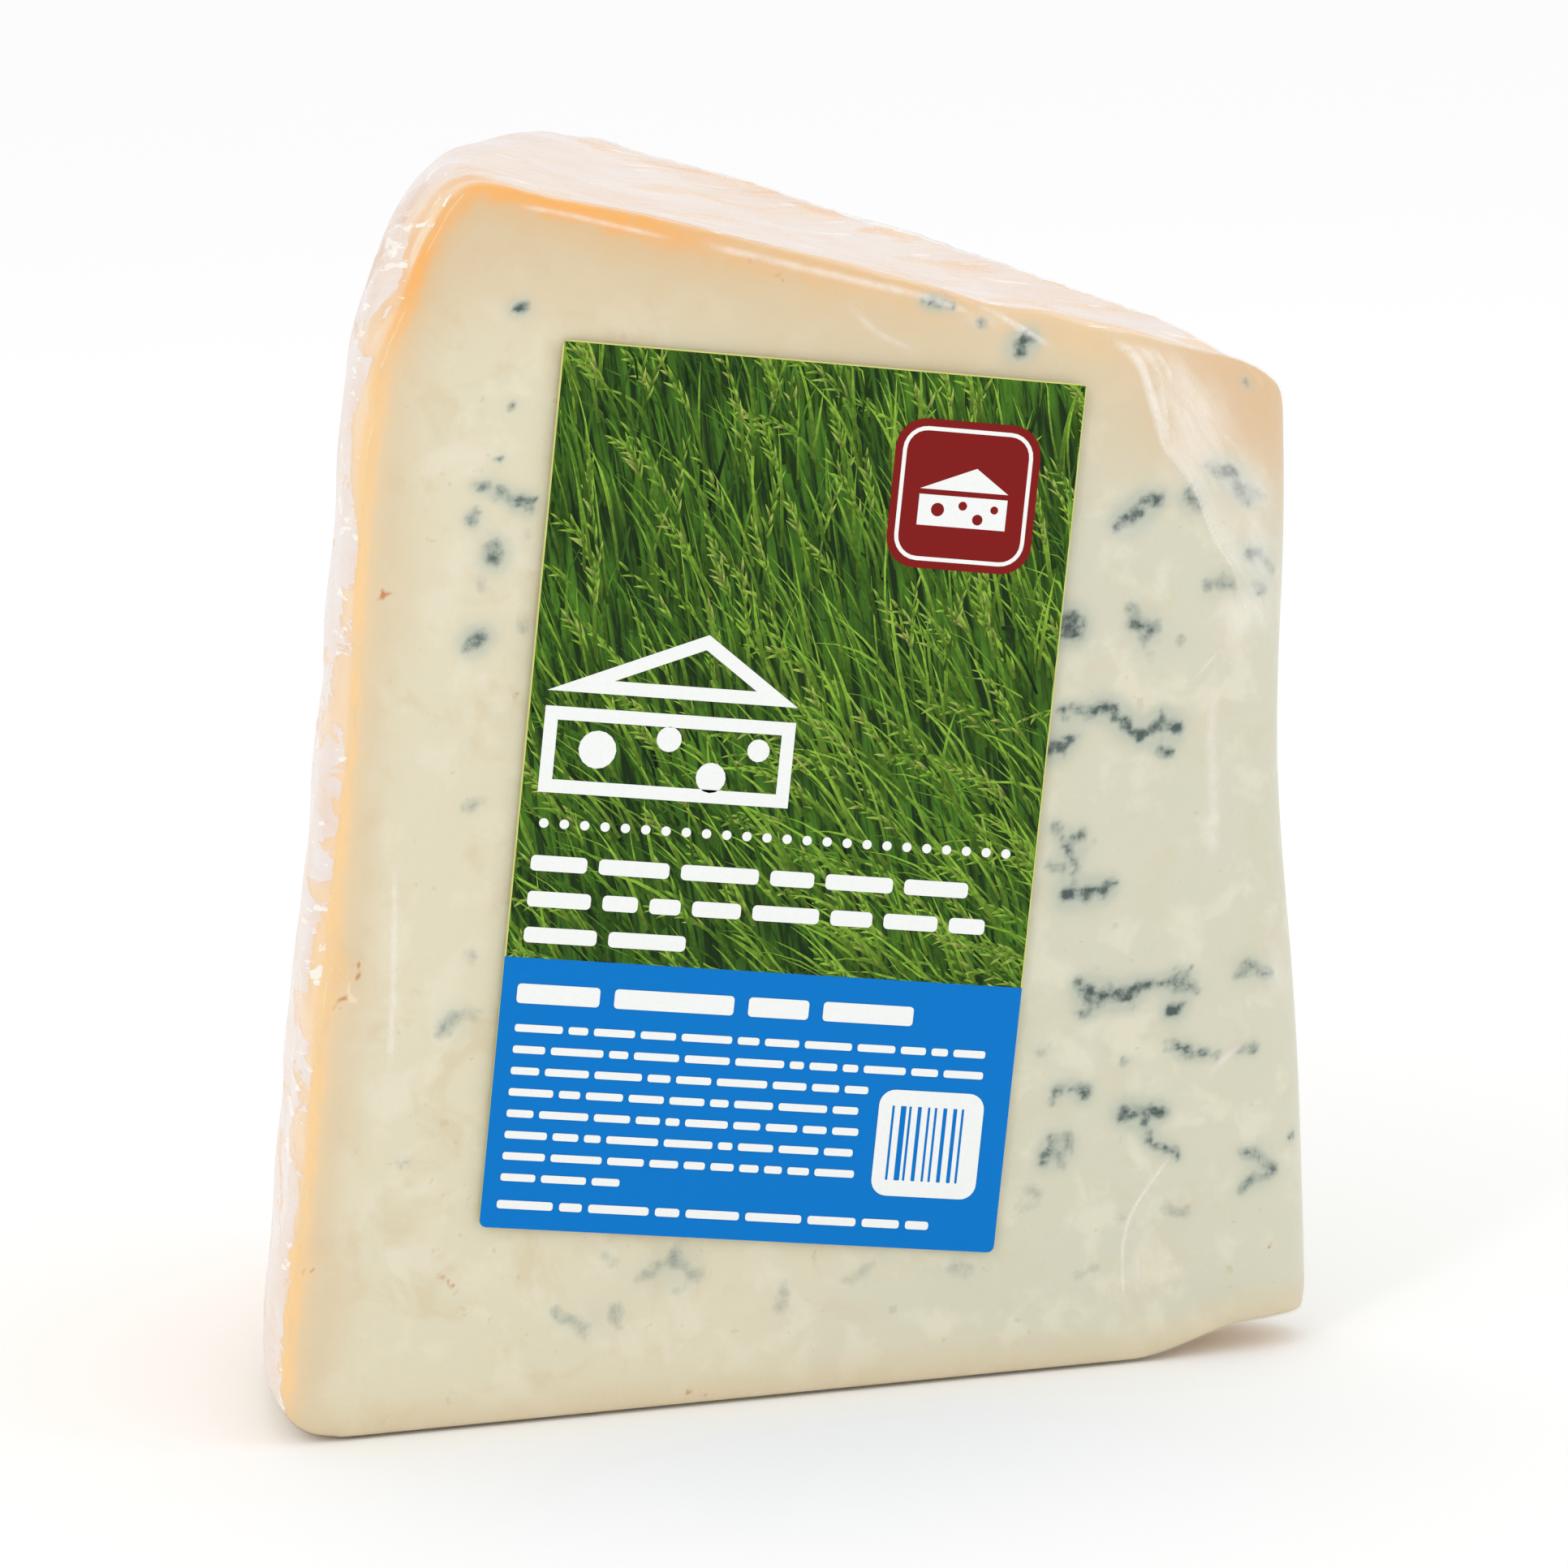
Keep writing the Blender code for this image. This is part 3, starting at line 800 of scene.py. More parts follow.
def back_spots(form):
    """Mould on the back cut: ragged level veins, some forked, that crowd towards the tip."""
    rng = random.Random(23)
    spots = []
    for _ in range(BACK_VEINS):
        reach = 74.0 * rng.random() ** 1.6 - 3.0
        height = rng.uniform(6.0, 92.0 if reach < 50 else 84.0)
        big = rng.random() < 0.45
        ink = rng.uniform(0.5, 1.0) if big else rng.uniform(0.10, 0.4)
        size = rng.uniform(0.28, 0.42) if big else rng.uniform(0.35, 0.7)
        heading = rng.choice((0.0, math.pi)) + rng.gauss(0, 0.4)
        route = [(reach, height)]
        for _ in range(rng.randint(3, 7) if big else rng.randint(1, 3)):
            heading += rng.gauss(0, 1.0)
            stride = rng.uniform(0.7, 2.0)
            route.append(stepped(route[-1], heading, stride))
        routes = [route]
        for _ in range(rng.randint(1, 4) if big else 0):
            start = rng.choice(route)
            turn = heading + rng.choice((-1.3, 1.3)) + rng.gauss(0, 0.3)
            routes.append([start, stepped(start, turn, rng.uniform(0.7, 2.0))])
        for path in routes:
            spots += grown_spots([on_back(*place, form) for place in path], size, ink, rng)
    return spots


def spot_density(places, spots, spread=1.0):
    """How much mould there is at each place, from nothing to 1."""
    total = np.zeros(len(places))
    for middle, size, ink in spots:
        reach = size * spread * MM
        near = np.abs(places[:, 2] - middle[2]) < 3.0 * reach
        offset = places[near] - middle
        total[near] += ink * np.exp(-np.sum(offset * offset, axis=1) / (reach * reach))
    return 1.0 - np.exp(-total)


# Folds of the film


def smooth_route(points, spacing):
    """Points along a smooth curve through the given ones."""
    points = [np.array(point, float) for point in points]
    padded = [2 * points[0] - points[1]] + points + [2 * points[-1] - points[-2]]
    route = []
    for before, start, end, after in zip(padded, padded[1:], padded[2:], padded[3:]):
        steps = max(2, int(np.linalg.norm(end - start) / spacing))
        for step in range(steps):
            t = step / steps
            bend = 2 * start + (end - before) * t + (2 * before - 5 * start + 4 * end - after) * t * t
            bend = bend + (3 * start - before - 3 * end + after) * t**3
            route.append(bend / 2)
    route.append(points[-1])
    return np.array(route)


def route_distance(places, route):
    """Each place's distance to a route, the way to it, and the route's direction there."""
    best = np.full(len(places), np.inf)
    offset = np.zeros_like(places)
    heading = np.zeros_like(places)
    for start, end in zip(route, route[1:]):
        along = end - start
        share = np.clip((places - start) @ along / (along @ along), 0.0, 1.0)
        way = places - (start + share[:, None] * along)
        distance = np.linalg.norm(way, axis=1)
        closer = distance < best
        best[closer] = distance[closer]
        offset[closer] = way[closer]
        heading[closer] = along
    return best, offset, heading


def all_folds(form):
    """Every fold of the film as (half width, height, whiteness, lap, route) in metres."""
    folds = []
    for width, height, white, lap, points in FOLDS:
        route = smooth_route([on_front(*point) for point in points], FRONT_SPACING)
        folds.append((width * MM, height * MM, white, lap * MM, route))
    rng = random.Random(5)
    route = smooth_route([on_back(*point, form) for point in SEAM], SEAM_SPACING)
    folds.append((0.4 * MM, 0.3 * MM, 0.5, SEAM_LAP * MM, route))
    for _ in range(BACK_FOLDS):
        reach = rng.uniform(2.0, 72.0)
        height = rng.choice((rng.uniform(3.0, 20.0), rng.uniform(60.0, 88.0)))
        lean = rng.gauss(0, 0.5) + (0.6 if height > 50 else -0.6)
        length = rng.uniform(5.0, 16.0)
        bend = rng.gauss(0, 1.2)
        places = []
        for t in (0.0, 0.35, 0.7, 1.0):
            across = length * math.sin(lean) + bend * (1 - t) * t * 4
            places.append(on_back(reach + across * t, height + length * math.cos(lean) * t, form))
        route = smooth_route(places, BACK_SPACING)
        width, rise, white = rng.uniform(0.25, 0.5), rng.uniform(0.12, 0.3), rng.uniform(0.2, 0.5)
        folds.append((width * MM, rise * MM, white, 0.0, route))
    hub = np.array(BASE_HUB)
    for index in range(BASE_FOLDS):
        angle = math.tau * (index + rng.uniform(-0.3, 0.3)) / BASE_FOLDS
        out = np.array((math.cos(angle), math.sin(angle) * 0.55, 0.0))
        near = hub + out * rng.uniform(0.006, 0.010)
        far = hub + out * rng.uniform(0.020, 0.034)
        middle = (near + far) / 2 + np.array((rng.gauss(0, 0.0015), rng.gauss(0, 0.0015), 0.0))
        route = smooth_route([near, middle, far], BASE_SPACING)
        folds.append((rng.uniform(0.3, 0.6) * MM, 0.0, rng.uniform(0.3, 0.6), 0.0, route))
    return folds


def close_to(places, route, reach):
    """Which places are in the route's box, grown by reach."""
    low = route.min(axis=0) - reach
    high = route.max(axis=0) + reach
    return np.where(((places > low) & (places < high)).all(axis=1))[0]


def near_folds(places, folds, reach):
    """Which places are within reach of a fold, as one truth value each."""
    near = np.zeros(len(places), bool)
    for fold in folds:
        close = close_to(places, fold[-1], reach)
        if len(close):
            near[close] |= route_distance(places[close], fold[-1])[0] < reach
    return near


def swell(distance, width):
    """The bell for many distances at once."""
    return np.exp(-((distance / width) ** 2))


def folded(places, normals, folds):
    """How far the folds raise the film at each place, how white they make it, and how hazy."""
    raised, white_sum, haze_sum = np.zeros((3, len(places)))
    for width, height, white, lap, route in folds:
        close = close_to(places, route, max(FOLD_REACH * MM, 3.5 * lap))
        if not len(close):
            continue
        distance, offset, heading = route_distance(places[close], route)
        ends = np.minimum(*(np.linalg.norm(places[close] - end, axis=1) for end in (route[0], route[-1])))
        taper = np.clip(ends / (FOLD_TAPER * MM), 0.0, 1.0)
        crest = swell(distance, width) * taper
        if lap:
            side = np.einsum("ij,ij->i", np.cross(heading, normals[close]), offset)
            lapped = np.where(side < 0, np.exp(-distance / lap), swell(distance, 0.6 * width))
            crest = np.maximum(crest * 0.4, lapped * taper)
            haze_sum[close] += LAP_HAZE * lapped * taper
            white_sum[close] += white * swell(distance, 0.7 * width) * taper
        else:
            white_sum[close] += white * crest
        raised[close] = np.maximum(raised[close], height * crest)
    return raised, white_sum, haze_sum


def place_bell(places, middle, spread):
    """1 at the middle, falling smoothly to nothing at about two spreads."""
    offset = (places - np.array(middle)) / spread
    return np.exp(-np.sum(offset * offset, axis=1))


# Materials


class Pattern:
    """What a node gives at each point of a piece, with sums on it written as plain arithmetic."""

    def __init__(self, tree, socket):
        self.tree = tree
        self.socket = socket

    def sum(self, operation, *values):
        return node(self.tree, "Math", dict(enumerate(values)), operation=operation)

    def __add__(self, other):
        return self.sum("ADD", self, other)

    def __sub__(self, other):
        return self.sum("SUBTRACT", self, other)

    def __rsub__(self, other):
        return self.sum("SUBTRACT", other, self)

    def __mul__(self, other):
        return self.sum("MULTIPLY", self, other)

    def __pow__(self, other):
        return self.sum("POWER", self, other)

    def __abs__(self):
        return self.sum("ABSOLUTE", self)

    def larger(self, other):
        return self.sum("MAXIMUM", self, other)

    def below(self, limit):
        return self.sum("LESS_THAN", self, limit)

    def part(self, index):
        """The x, y or z of a place."""
        return node(self.tree, "SeparateXYZ", {0: self}, index)

    def ranged(self, low, high, out_low=0.0, out_high=1.0, curve="SMOOTHSTEP"):
        """Its place between low and high, from out_low to out_high."""
        inputs = {0: self, 1: low, 2: high, 3: out_low, 4: out_high}
        return node(self.tree, "MapRange", inputs, interpolation_type=curve)

    def blend(self, first, second):
        """A colour that goes from first to second as this goes from 0 to 1."""
        return node(self.tree, "Mix", {0: self, 6: first, 7: second}, 2, data_type="RGBA")

    def between(self, first, second):
        """A number that goes from first to second as this goes from 0 to 1."""
        return node(self.tree, "Mix", {0: self, 2: first, 3: second}, data_type="FLOAT")

    def noise(self, scale, detail=3.0, roughness=0.5, distortion=0.0):
        """Noise at a scale in waves a metre."""
        return node(self.tree, "TexNoise", {
            "Vector": self, "Scale": scale, "Detail": detail,
            "Roughness": roughness, "Distortion": distortion})

    def stretched(self, scale, turn=(0.0, 0.0, 0.0)):
        """Coordinates turned and then stretched."""
        turned = node(self.tree, "Mapping", {"Vector": self, "Rotation": turn})
        return node(self.tree, "Mapping", {"Vector": turned, "Scale": scale})


def new_material(name):
    """An empty node material and its tree."""
    material = bpy.data.materials.new(name)
    material.use_nodes = True
    material.node_tree.nodes.clear()
    return material, material.node_tree


def node(tree, kind, inputs=(), output=0, **settings):
    """Adds a node, sets its options, sets or links its inputs, and gives one of its outputs."""
    made = tree.nodes.new("ShaderNode" + kind)
    for name, value in settings.items():
        setattr(made, name, value)
    for key, value in dict(inputs).items():
        socket = made.inputs[key]
        if isinstance(value, Pattern):
            tree.links.new(value.socket, socket)
        elif socket.type == "RGBA":
            socket.default_value = (*value[:3], 1.0)
        else:
            socket.default_value = value
    return Pattern(tree, made.outputs[output]) if made.outputs else None


def attribute(tree, name):
    """A stored number of the piece."""
    return node(tree, "Attribute", output="Fac", attribute_name=name)


def object_place(tree):
    """Where on the piece each point is."""
    return node(tree, "TexCoord", output="Object")


def printed_ink(tree, tint, roughness):
    """Ink on coated paper."""
    return node(tree, "BsdfPrincipled", {
        "Base Color": tint, "Roughness": roughness, "IOR": 1.45, "Specular IOR Level": PRINT_GLOSS})


def cheese_material(look):
    """Ivory paste with warm and cool clouds, blue-green veins in pale haloes, and a peach rind."""
    material, tree = new_material("veined_cheese")
    place = object_place(tree)
    depth = attribute(tree, "rind_depth")
    foot = attribute(tree, "foot_depth")
    behind = attribute(tree, "behind")
    along = place.part(0)
    level = place.part(2)
    high = level.ranged(0.087, 0.101)
    clouds = place.noise(60.0, 4.0, 0.6, 0.4)
    fine = place.noise(420.0, 5.0, 0.65)
    grains = place.noise(1300.0, 3.0, 0.6)

    cool_share = along.ranged(-0.03, 0.04) + (clouds - 0.5)
    paste = cool_share.ranged(0.0, 1.1).blend(look.warm, look.cool)
    beige = place.noise(150.0, 5.0, 0.6, 0.8).ranged(0.5, 0.66, 0.0, 0.42)
    paste = (beige * along.ranged(-0.03, 0.03, 1.0, 0.45)).blend(paste, shade(209, 190, 151))
    pale = place.noise(210.0, 4.0, 0.55, 0.3).ranged(0.48, 0.64, 0.0, 0.46)
    paste = pale.blend(paste, shade(229, 224, 202))
    speck = place.noise(900.0, 2.0, 0.5).ranged(0.7, 0.76, 0.0, 0.35)
    paste = speck.blend(paste, shade(196, 176, 136))

    # Warmer towards the rind, and the rind's own line where a cut meets it
    uneven = depth + (fine - 0.5) * 1.3
    wide = depth + (clouds - 0.5) * 7.0
    paste = wide.ranged(1.2, 7.5, 0.75, 0.0).blend(paste, shade(216, 194, 156))
    paste = (wide.ranged(3.0, 16.0, 0.55, 0.0) * high).blend(paste, shade(214, 188, 148))
    fading = (along + clouds * 0.02).ranged(-0.002, 0.012, 1.0, 0.35)
    under = high.blend(shade(228, 202, 160), look.rind_under)
    paste = (uneven.ranged(0.7, 3.2, 0.9, 0.0) * fading).blend(paste, under)
    edge = high.blend(shade(241, 202, 145), look.rind_edge)
    breaks = place.noise(260.0, 4.0, 0.6, 0.5).ranged(0.36, 0.56, 0.55, 1.0)
    paste = (uneven.ranged(0.6, 1.7, 1.0, 0.0) * fading * breaks).blend(paste, edge)
    tip_blush = wide.ranged(1.0, 11.0, 0.85, 0.0) * along.ranged(0.027, 0.041) * level.ranged(0.07, 0.085)
    paste = tip_blush.blend(paste, shade(218, 184, 142))
    paste = foot.ranged(0.0, 5.0, 0.65, 0.0).blend(paste, shade(212, 192, 156))

    # The rind's outer face
    mottle = place.noise(160.0, 5.0, 0.6, 0.5).ranged(0.35, 0.7)
    ripe = mottle.blend(high.blend(shade(238, 204, 158), shade(236, 184, 124)), shade(241, 212, 174))
    rind = mottle.blend(look.rind_skin, shade(240, 217, 186))
    rind = behind.ranged(2.0, 12.0, 1.0, 0.0).blend(rind, ripe)
    on_base = foot.ranged(0.05, 0.3, 0.8, 0.0) * behind.ranged(1.0, 2.6)
    on_skin = depth.ranged(0.25, 0.6, 1.0, 0.0) * behind.ranged(0.8, 1.8)
    paste = on_skin.blend(on_base.blend(paste, rind), rind)
    scarred = attribute(tree, "scar") * fine.ranged(0.35, 0.65, 0.4, 1.3)
    paste = scarred.ranged(0.3, 0.7, 0.0, 0.85).blend(paste, shade(236, 200, 164))

    # Mould and flecks
    lumps = place.noise(850.0, 3.0, 0.6, 0.3).ranged(0.34, 0.64, 0.72, 1.18)
    break_up = grains.ranged(0.32, 0.68, 0.75, 1.2) * lumps
    ink = attribute(tree, "mould") * break_up
    haze = attribute(tree, "halo") * fine.ranged(0.3, 0.7, 0.8, 1.12)
    veined = haze.ranged(0.02, 0.7, 0.0, 0.95).blend(paste, look.mould_halo)
    veined = ink.ranged(0.1, 0.62, curve="LINEAR").blend(veined, look.mould_mid)
    veined = ink.ranged(0.42, 1.0).blend(veined, look.mould_dark)
    veined = (attribute(tree, "fleck") * break_up).ranged(0.2, 0.8).blend(veined, look.fleck)

    bump = node(tree, "Bump", {"Height": fine + grains * 0.4, "Distance": 0.00012, "Strength": 0.6})
    shader = node(tree, "BsdfPrincipled", {
        "Base Color": veined, "Roughness": fine.ranged(0.3, 0.7, 0.42, 0.6), "Normal": bump, "IOR": 1.42,
        "Subsurface Weight": 0.18, "Subsurface Scale": 0.0016, "Subsurface Radius": (1.0, 0.76, 0.46)})
    node(tree, "OutputMaterial", {"Surface": shader})
    return material


def film_material(look):
    """Clear gloss film: all but unseen on the cuts, a pale veil with clear wet patches over the rind."""
    material, tree = new_material("clear_film")
    place = object_place(tree)
    behind = attribute(tree, "behind")
    bare = attribute(tree, "bare")
    upright = attribute(tree, "upright")
    base = attribute(tree, "base")
    broad = place.noise(55.0, 3.0, 0.5) - 0.5
    ragged = place.noise(330.0, 5.0, 0.62, 0.5) - 0.5
    torn = place.noise(170.0, 5.0, 0.65, 0.8) - 0.5
    sweep = (0.0, 0.0, math.radians(-24))

    # Where the film is loose over the rind, and so a white veil
    covered = behind - bare * 7.0
    wall_start = (covered + (torn * 11.0 + ragged * 5.0)).ranged(0.1, 0.3)
    top_start = (covered + (broad * 7.0 + ragged * 3.0)).ranged(1.2, 2.4)
    past_edge = (behind + ragged * 2.0).ranged(0.7, 1.0)
    wall_patch = place.stretched((70.0, 70.0, 210.0)).noise(1.0, 6.0, 0.62, 0.9)
    wall_field = wall_patch + broad * 0.35 + behind.ranged(2.0, 18.0, 0.07, 0.0)
    wall_clear = wall_field.ranged(0.575, 0.59)
    rim = wall_field.ranged(0.56, 0.58) * wall_field.ranged(0.585, 0.605, 1.0, 0.0)
    top_patch = place.stretched((60.0, 170.0, 150.0), sweep).noise(1.0, 6.0, 0.6, 0.8)
    top_clear = (top_patch + behind.ranged(2.0, 16.0, 0.1, 0.0)).ranged(0.6, 0.7, 0.0, 0.55)
    loose_wall = wall_start * wall_clear.ranged(0.0, 1.0, 1.0, 0.1)
    loose = upright.between(top_start * (1.0 - top_clear), loose_wall)
    streaks = place.stretched((45.0, 330.0, 200.0), sweep).noise(1.0, 5.0, 0.6, 0.4)
    threads = place.stretched((120.0, 120.0, 420.0)).noise(1.0, 5.0, 0.6, 0.6)
    wall_cover = threads.ranged(0.3, 0.65, look.veil_cover - 0.14, look.veil_cover + 0.12)
    top_cover = streaks.ranged(0.34, 0.66, look.veil_cover + 0.04, look.veil_cover - 0.18)
    veil = loose * upright.between(top_cover, wall_cover) * past_edge * base.ranged(0.0, 1.0, 1.0, 0.55)

    # Folds, hazy places, and fine bright lines that are painted highlights: glints of the film drawn as white
    # streaks
    fold_white_and_glints = attribute(tree, "fold") * place.noise(700.0, 4.0, 0.6).ranged(0.3, 0.6, 0.6, 1.0)
    brushed = place.stretched((420.0, 420.0, 90.0), (0.0, math.radians(26), 0.0)).noise(1.0, 4.0, 0.6)
    hazed = attribute(tree, "haze") * brushed.ranged(0.32, 0.66, 0.45, 1.0)
    top_lines = place.stretched((90.0, 620.0, 500.0), sweep).noise(1.0, 3.0, 0.6, 0.4)
    wall_lines = place.stretched((150.0, 150.0, 800.0)).noise(1.0, 3.0, 0.6, 0.4)
    line = upright.between(top_lines, wall_lines) + bare * 0.045
    # Painted highlight: thin white streaks near the cut edges that stand for glints of light on the film
    painted_glints = line.ranged(0.62, 0.67, 0.0, 0.85) * past_edge * behind.ranged(3.0, 16.0, 1.0, 0.25)
    fold_white_and_glints = fold_white_and_glints.larger(painted_glints * base.ranged(0.0, 1.0, 1.0, 0.3))
    hazy = veil.larger(fold_white_and_glints.larger(hazed))

    tint = place.noise(90.0, 4.0, 0.6, 0.5).ranged(0.35, 0.68).blend(look.veil, look.veil_blush)
    tint = (rim * upright * 0.8).blend(tint, shade(232, 196, 168))
    # Whiter where the folds, the haze and the painted glints are
    tint = fold_white_and_glints.larger(hazed).ranged(0.05, 0.3).blend(tint, shade(245, 241, 233))
    ripples = place.stretched((110.0, 330.0, 260.0), sweep).noise(1.0, 4.0, 0.55, 0.6)
    height = (ripples + threads * (upright * 0.5)) * behind.ranged(0.0, 2.0, 0.12, 1.0)
    bump = node(tree, "Bump", {"Height": height, "Distance": 0.0002, "Strength": 0.35})
    veiled = node(tree, "BsdfPrincipled", {
        "Base Color": tint, "Roughness": 0.25, "IOR": 1.45, "Normal": bump})
    clear = node(tree, "BsdfTransparent")
    gloss = node(tree, "BsdfAnisotropic", {"Color": (1.0, 1.0, 1.0), "Roughness": 0.1, "Normal": bump})
    facing = node(tree, "LayerWeight", {"Blend": 0.5, "Normal": bump}, "Facing")
    shine = facing ** 5.0 * 0.35 + 0.03
    wrap = node(tree, "MixShader", {0: shine, 1: clear, 2: gloss})
    node(tree, "OutputMaterial", {"Surface": node(tree, "MixShader", {0: hazy, 1: wrap, 2: veiled})})
    return material


def paper_material(look):
    """Coated paper: a dark green field with soft leaning streaks over an even blue one."""
    material, tree = new_material("printed_paper")
    place = node(tree, "UVMap", uv_map="artwork")
    height = place.part(1)
    streak = place.stretched((1.5, 0.11, 1.0), (0.0, 0.0, math.radians(-14))).noise(1.0, 5.0, 0.62, 0.5)
    green = streak.ranged(0.4, 0.62).blend(look.deep, look.leaf)
    green = place.noise(0.12, 3.0, 0.5).ranged(0.35, 0.65, 0.55, 0.0).blend(green, look.deep)
    blue = place.noise(9.0, 2.0, 0.5).ranged(0.3, 0.7, 0.0, 0.12).blend(look.blue, shade(20, 130, 205))
    lower = height.below(BLUE_TOP)
    inside = abs(place.part(0)).below(PRINT_HALF_WIDTH) * height.below(PRINT_TOP)
    inked = attribute(tree, "printed") * inside.larger(lower)
    whole = inked.blend(shade(206, 208, 120), lower.blend(green, blue))
    node(tree, "OutputMaterial", {"Surface": printed_ink(tree, whole, 0.38)})
    return material


def blade_material(look):
    """Printed blades, each of its own green, darker at its foot."""
    material, tree = new_material("printed_blades")
    tone = attribute(tree, "tone")
    green = tone.ranged(0.0, 0.5, curve="LINEAR").blend(look.deep, look.leaf)
    green = tone.ranged(0.45, 0.85, curve="LINEAR").blend(green, look.bright)
    green = tone.ranged(0.86, 1.0, curve="LINEAR").blend(green, look.straw)
    grain = object_place(tree).noise(2200.0, 2.0, 0.5).ranged(0.3, 0.7, 0.75, 1.1)
    lit = attribute(tree, "rise").ranged(0.0, 0.7, 0.35, 1.0) * grain
    grey = node(tree, "CombineColor", {0: lit, 1: lit, 2: lit})
    dark = node(tree, "Mix", {0: 1.0, 6: green, 7: grey}, 2, data_type="RGBA", blend_type="MULTIPLY")
    node(tree, "OutputMaterial", {"Surface": printed_ink(tree, dark, 0.4)})
    return material


def ink_material(name, tint):
    """One printed colour, a little uneven as screened ink is."""
    material, tree = new_material(name)
    screen = object_place(tree).noise(5000.0, 2.0, 0.5).ranged(0.3, 0.7, 0.0, 0.1)
    uneven = screen.blend(tint, [0.7 * channel for channel in tint])
    node(tree, "OutputMaterial", {"Surface": printed_ink(tree, uneven, 0.36)})
    return material


def floor_material(look):
    """A plain pale floor."""
    material, tree = new_material("pale_floor")
    shader = node(tree, "BsdfPrincipled", {
        "Base Color": look.floor, "Roughness": 0.9, "Specular IOR Level": 0.0})
    node(tree, "OutputMaterial", {"Surface": shader})
    return material


# Pieces of the label


def rounded_box(middle, size, radius, steps=4):
    """Corners of a rectangle with round corners, anticlockwise, in millimetres."""
    half_width = size[0] / 2 - radius
    half_height = size[1] / 2 - radius
    outline = []
    for quarter, (side_u, side_v) in enumerate(((1, 1), (-1, 1), (-1, -1), (1, -1))):
        for step in range(steps + 1):
            angle = math.pi / 2 * (quarter + step / steps)
            outline.append((
                middle[0] + side_u * half_width + radius * math.cos(angle),
                middle[1] + side_v * half_height + radius * math.sin(angle)))
    return outline


def disc(middle, radius, steps=16):
    """Corners of a circle."""
    turns = [math.tau * step / steps for step in range(steps)]
    return [(middle[0] + radius * math.cos(turn), middle[1] + radius * math.sin(turn)) for turn in turns]


def printed_shape(outline, material, layer, ring=0.0):
    """A thin flat shape of ink, or its border alone if ring gives a width in millimetres."""
    bpy.ops.object.select_all(action="DESELECT")
    bpy.ops.mesh.primitive_circle_add(vertices=len(outline), fill_type="NGON")
    shape = bpy.context.object
    for vertex, (u, v) in zip(shape.data.vertices, outline):
        vertex.co = (u * MM, -layer * LAYER, v * MM)
    begin_edit(shape)
    if ring:
        bpy.context.tool_settings.mesh_select_mode = (False, False, True)
        bpy.ops.mesh.inset(thickness=ring * MM)
        bpy.ops.mesh.delete(type="FACE")
        bpy.ops.mesh.select_all(action="SELECT")
        bpy.context.tool_settings.mesh_select_mode = (True, False, False)
    bpy.ops.mesh.extrude_region_move(TRANSFORM_OT_translate={"value": (0.0, -INK, 0.0)})
    bpy.ops.mesh.select_all(action="SELECT")
    bpy.ops.mesh.normals_make_consistent(inside=False)
    end_edit()
    shape.data.materials.append(material)
    return shape


def grass_blade(pattern, blade):
    """A copy of the pattern bent into a blade: root, lean, curl, length, half width, tone and layer."""
    root, lean, curl, length, girth, tone, layer = blade
    base = vertex_places(pattern)
    across = base[:, 0]
    rise = (base[:, 1] + 1.0) / 2.0
    heading = lean + curl * rise
    taper = girth * (1.0 - rise ** 2.2) + 0.012
    u = root[0] + length * np.sin(heading) * rise + across * taper * np.cos(heading)
    v = root[1] + length * np.cos(heading) * rise - across * taper * np.sin(heading)
    u = np.clip(u, -PRINT_HALF_WIDTH, PRINT_HALF_WIDTH)
    v = np.clip(v, BLUE_TOP, PRINT_TOP)
    if np.ptp(u) < 0.02 or np.ptp(v) < 0.02:
        return None
    mesh = pattern.data.copy()
    places = np.stack([u * MM, -(layer + 0.5 * rise) * LAYER, v * MM], axis=1)
    mesh.vertices.foreach_set("co", places.ravel())
    for name, values in (("tone", np.full(len(u), tone)), ("rise", rise)):
        mesh.attributes.new(name, "FLOAT", "POINT").data.foreach_set("value", values.astype(np.float32))
    piece = bpy.data.objects.new("blade", mesh)
    bpy.context.scene.collection.objects.link(piece)
    return piece


def seed_head(pattern, blade, rng):
    """Short bright seeds on both sides of a blade's upper half."""
    root, lean, curl, length = blade[:4]
    layer = blade[-1]
    seeds = []
    for step in range(SEEDS):
        share = 0.45 + 0.58 * step / SEEDS
        heading = lean + curl * share
        place = (root[0] + length * math.sin(heading) * share, root[1] + length * math.cos(heading) * share)
        side = -0.42 if step % 2 else 0.30
        turn = heading + curl * share + side + rng.gauss(0, 0.10)
        size = rng.uniform(0.9, 1.7) * (1.15 - 0.5 * (share - 0.45))
        seed = (place, turn, -0.15, size, rng.uniform(0.09, 0.15), rng.uniform(0.72, 1.0), layer + 2)
        seeds.append(grass_blade(pattern, seed))
    return seeds


def word_row(left, right, level, height, roundness, short, long, rng):
    """Outlines of one row of bars, as long as words, between left and right."""
    outlines = []
    u = left
    while u < right - short:
        length = min(rng.uniform(short, long), right - u)
        outlines.append(rounded_box((u + length / 2, level), (length, height), height * roundness))
        u += length + height * 0.75
    return outlines


def wedge_picture(corner, width):
    """Outlines of a plain picture of a cheese wedge: its top, its cut, and the holes in the cut."""
    u, v = corner
    top = [(u, v + 0.40 * width), (u + 0.62 * width, v + 0.66 * width), (u + width, v + 0.40 * width)]
    cut = [(u, v), (u + width, v), (u + width, v + 0.34 * width), (u, v + 0.34 * width)]
    holes = [disc((u + right * width, v + up * width), radius * width) for right, up, radius in (
        (0.22, 0.18, 0.075), (0.50, 0.24, 0.05), (0.68, 0.10, 0.06), (0.86, 0.22, 0.045))]
    return top, cut, holes


def join(pieces, name):
    """Joins the pieces into one object of that name."""
    bpy.ops.object.select_all(action="DESELECT")
    for piece in pieces:
        piece.select_set(True)
    bpy.context.view_layer.objects.active = pieces[0]
    bpy.ops.object.join()
    joined = bpy.context.object
    joined.name = name
    joined.data.name = name
    return joined


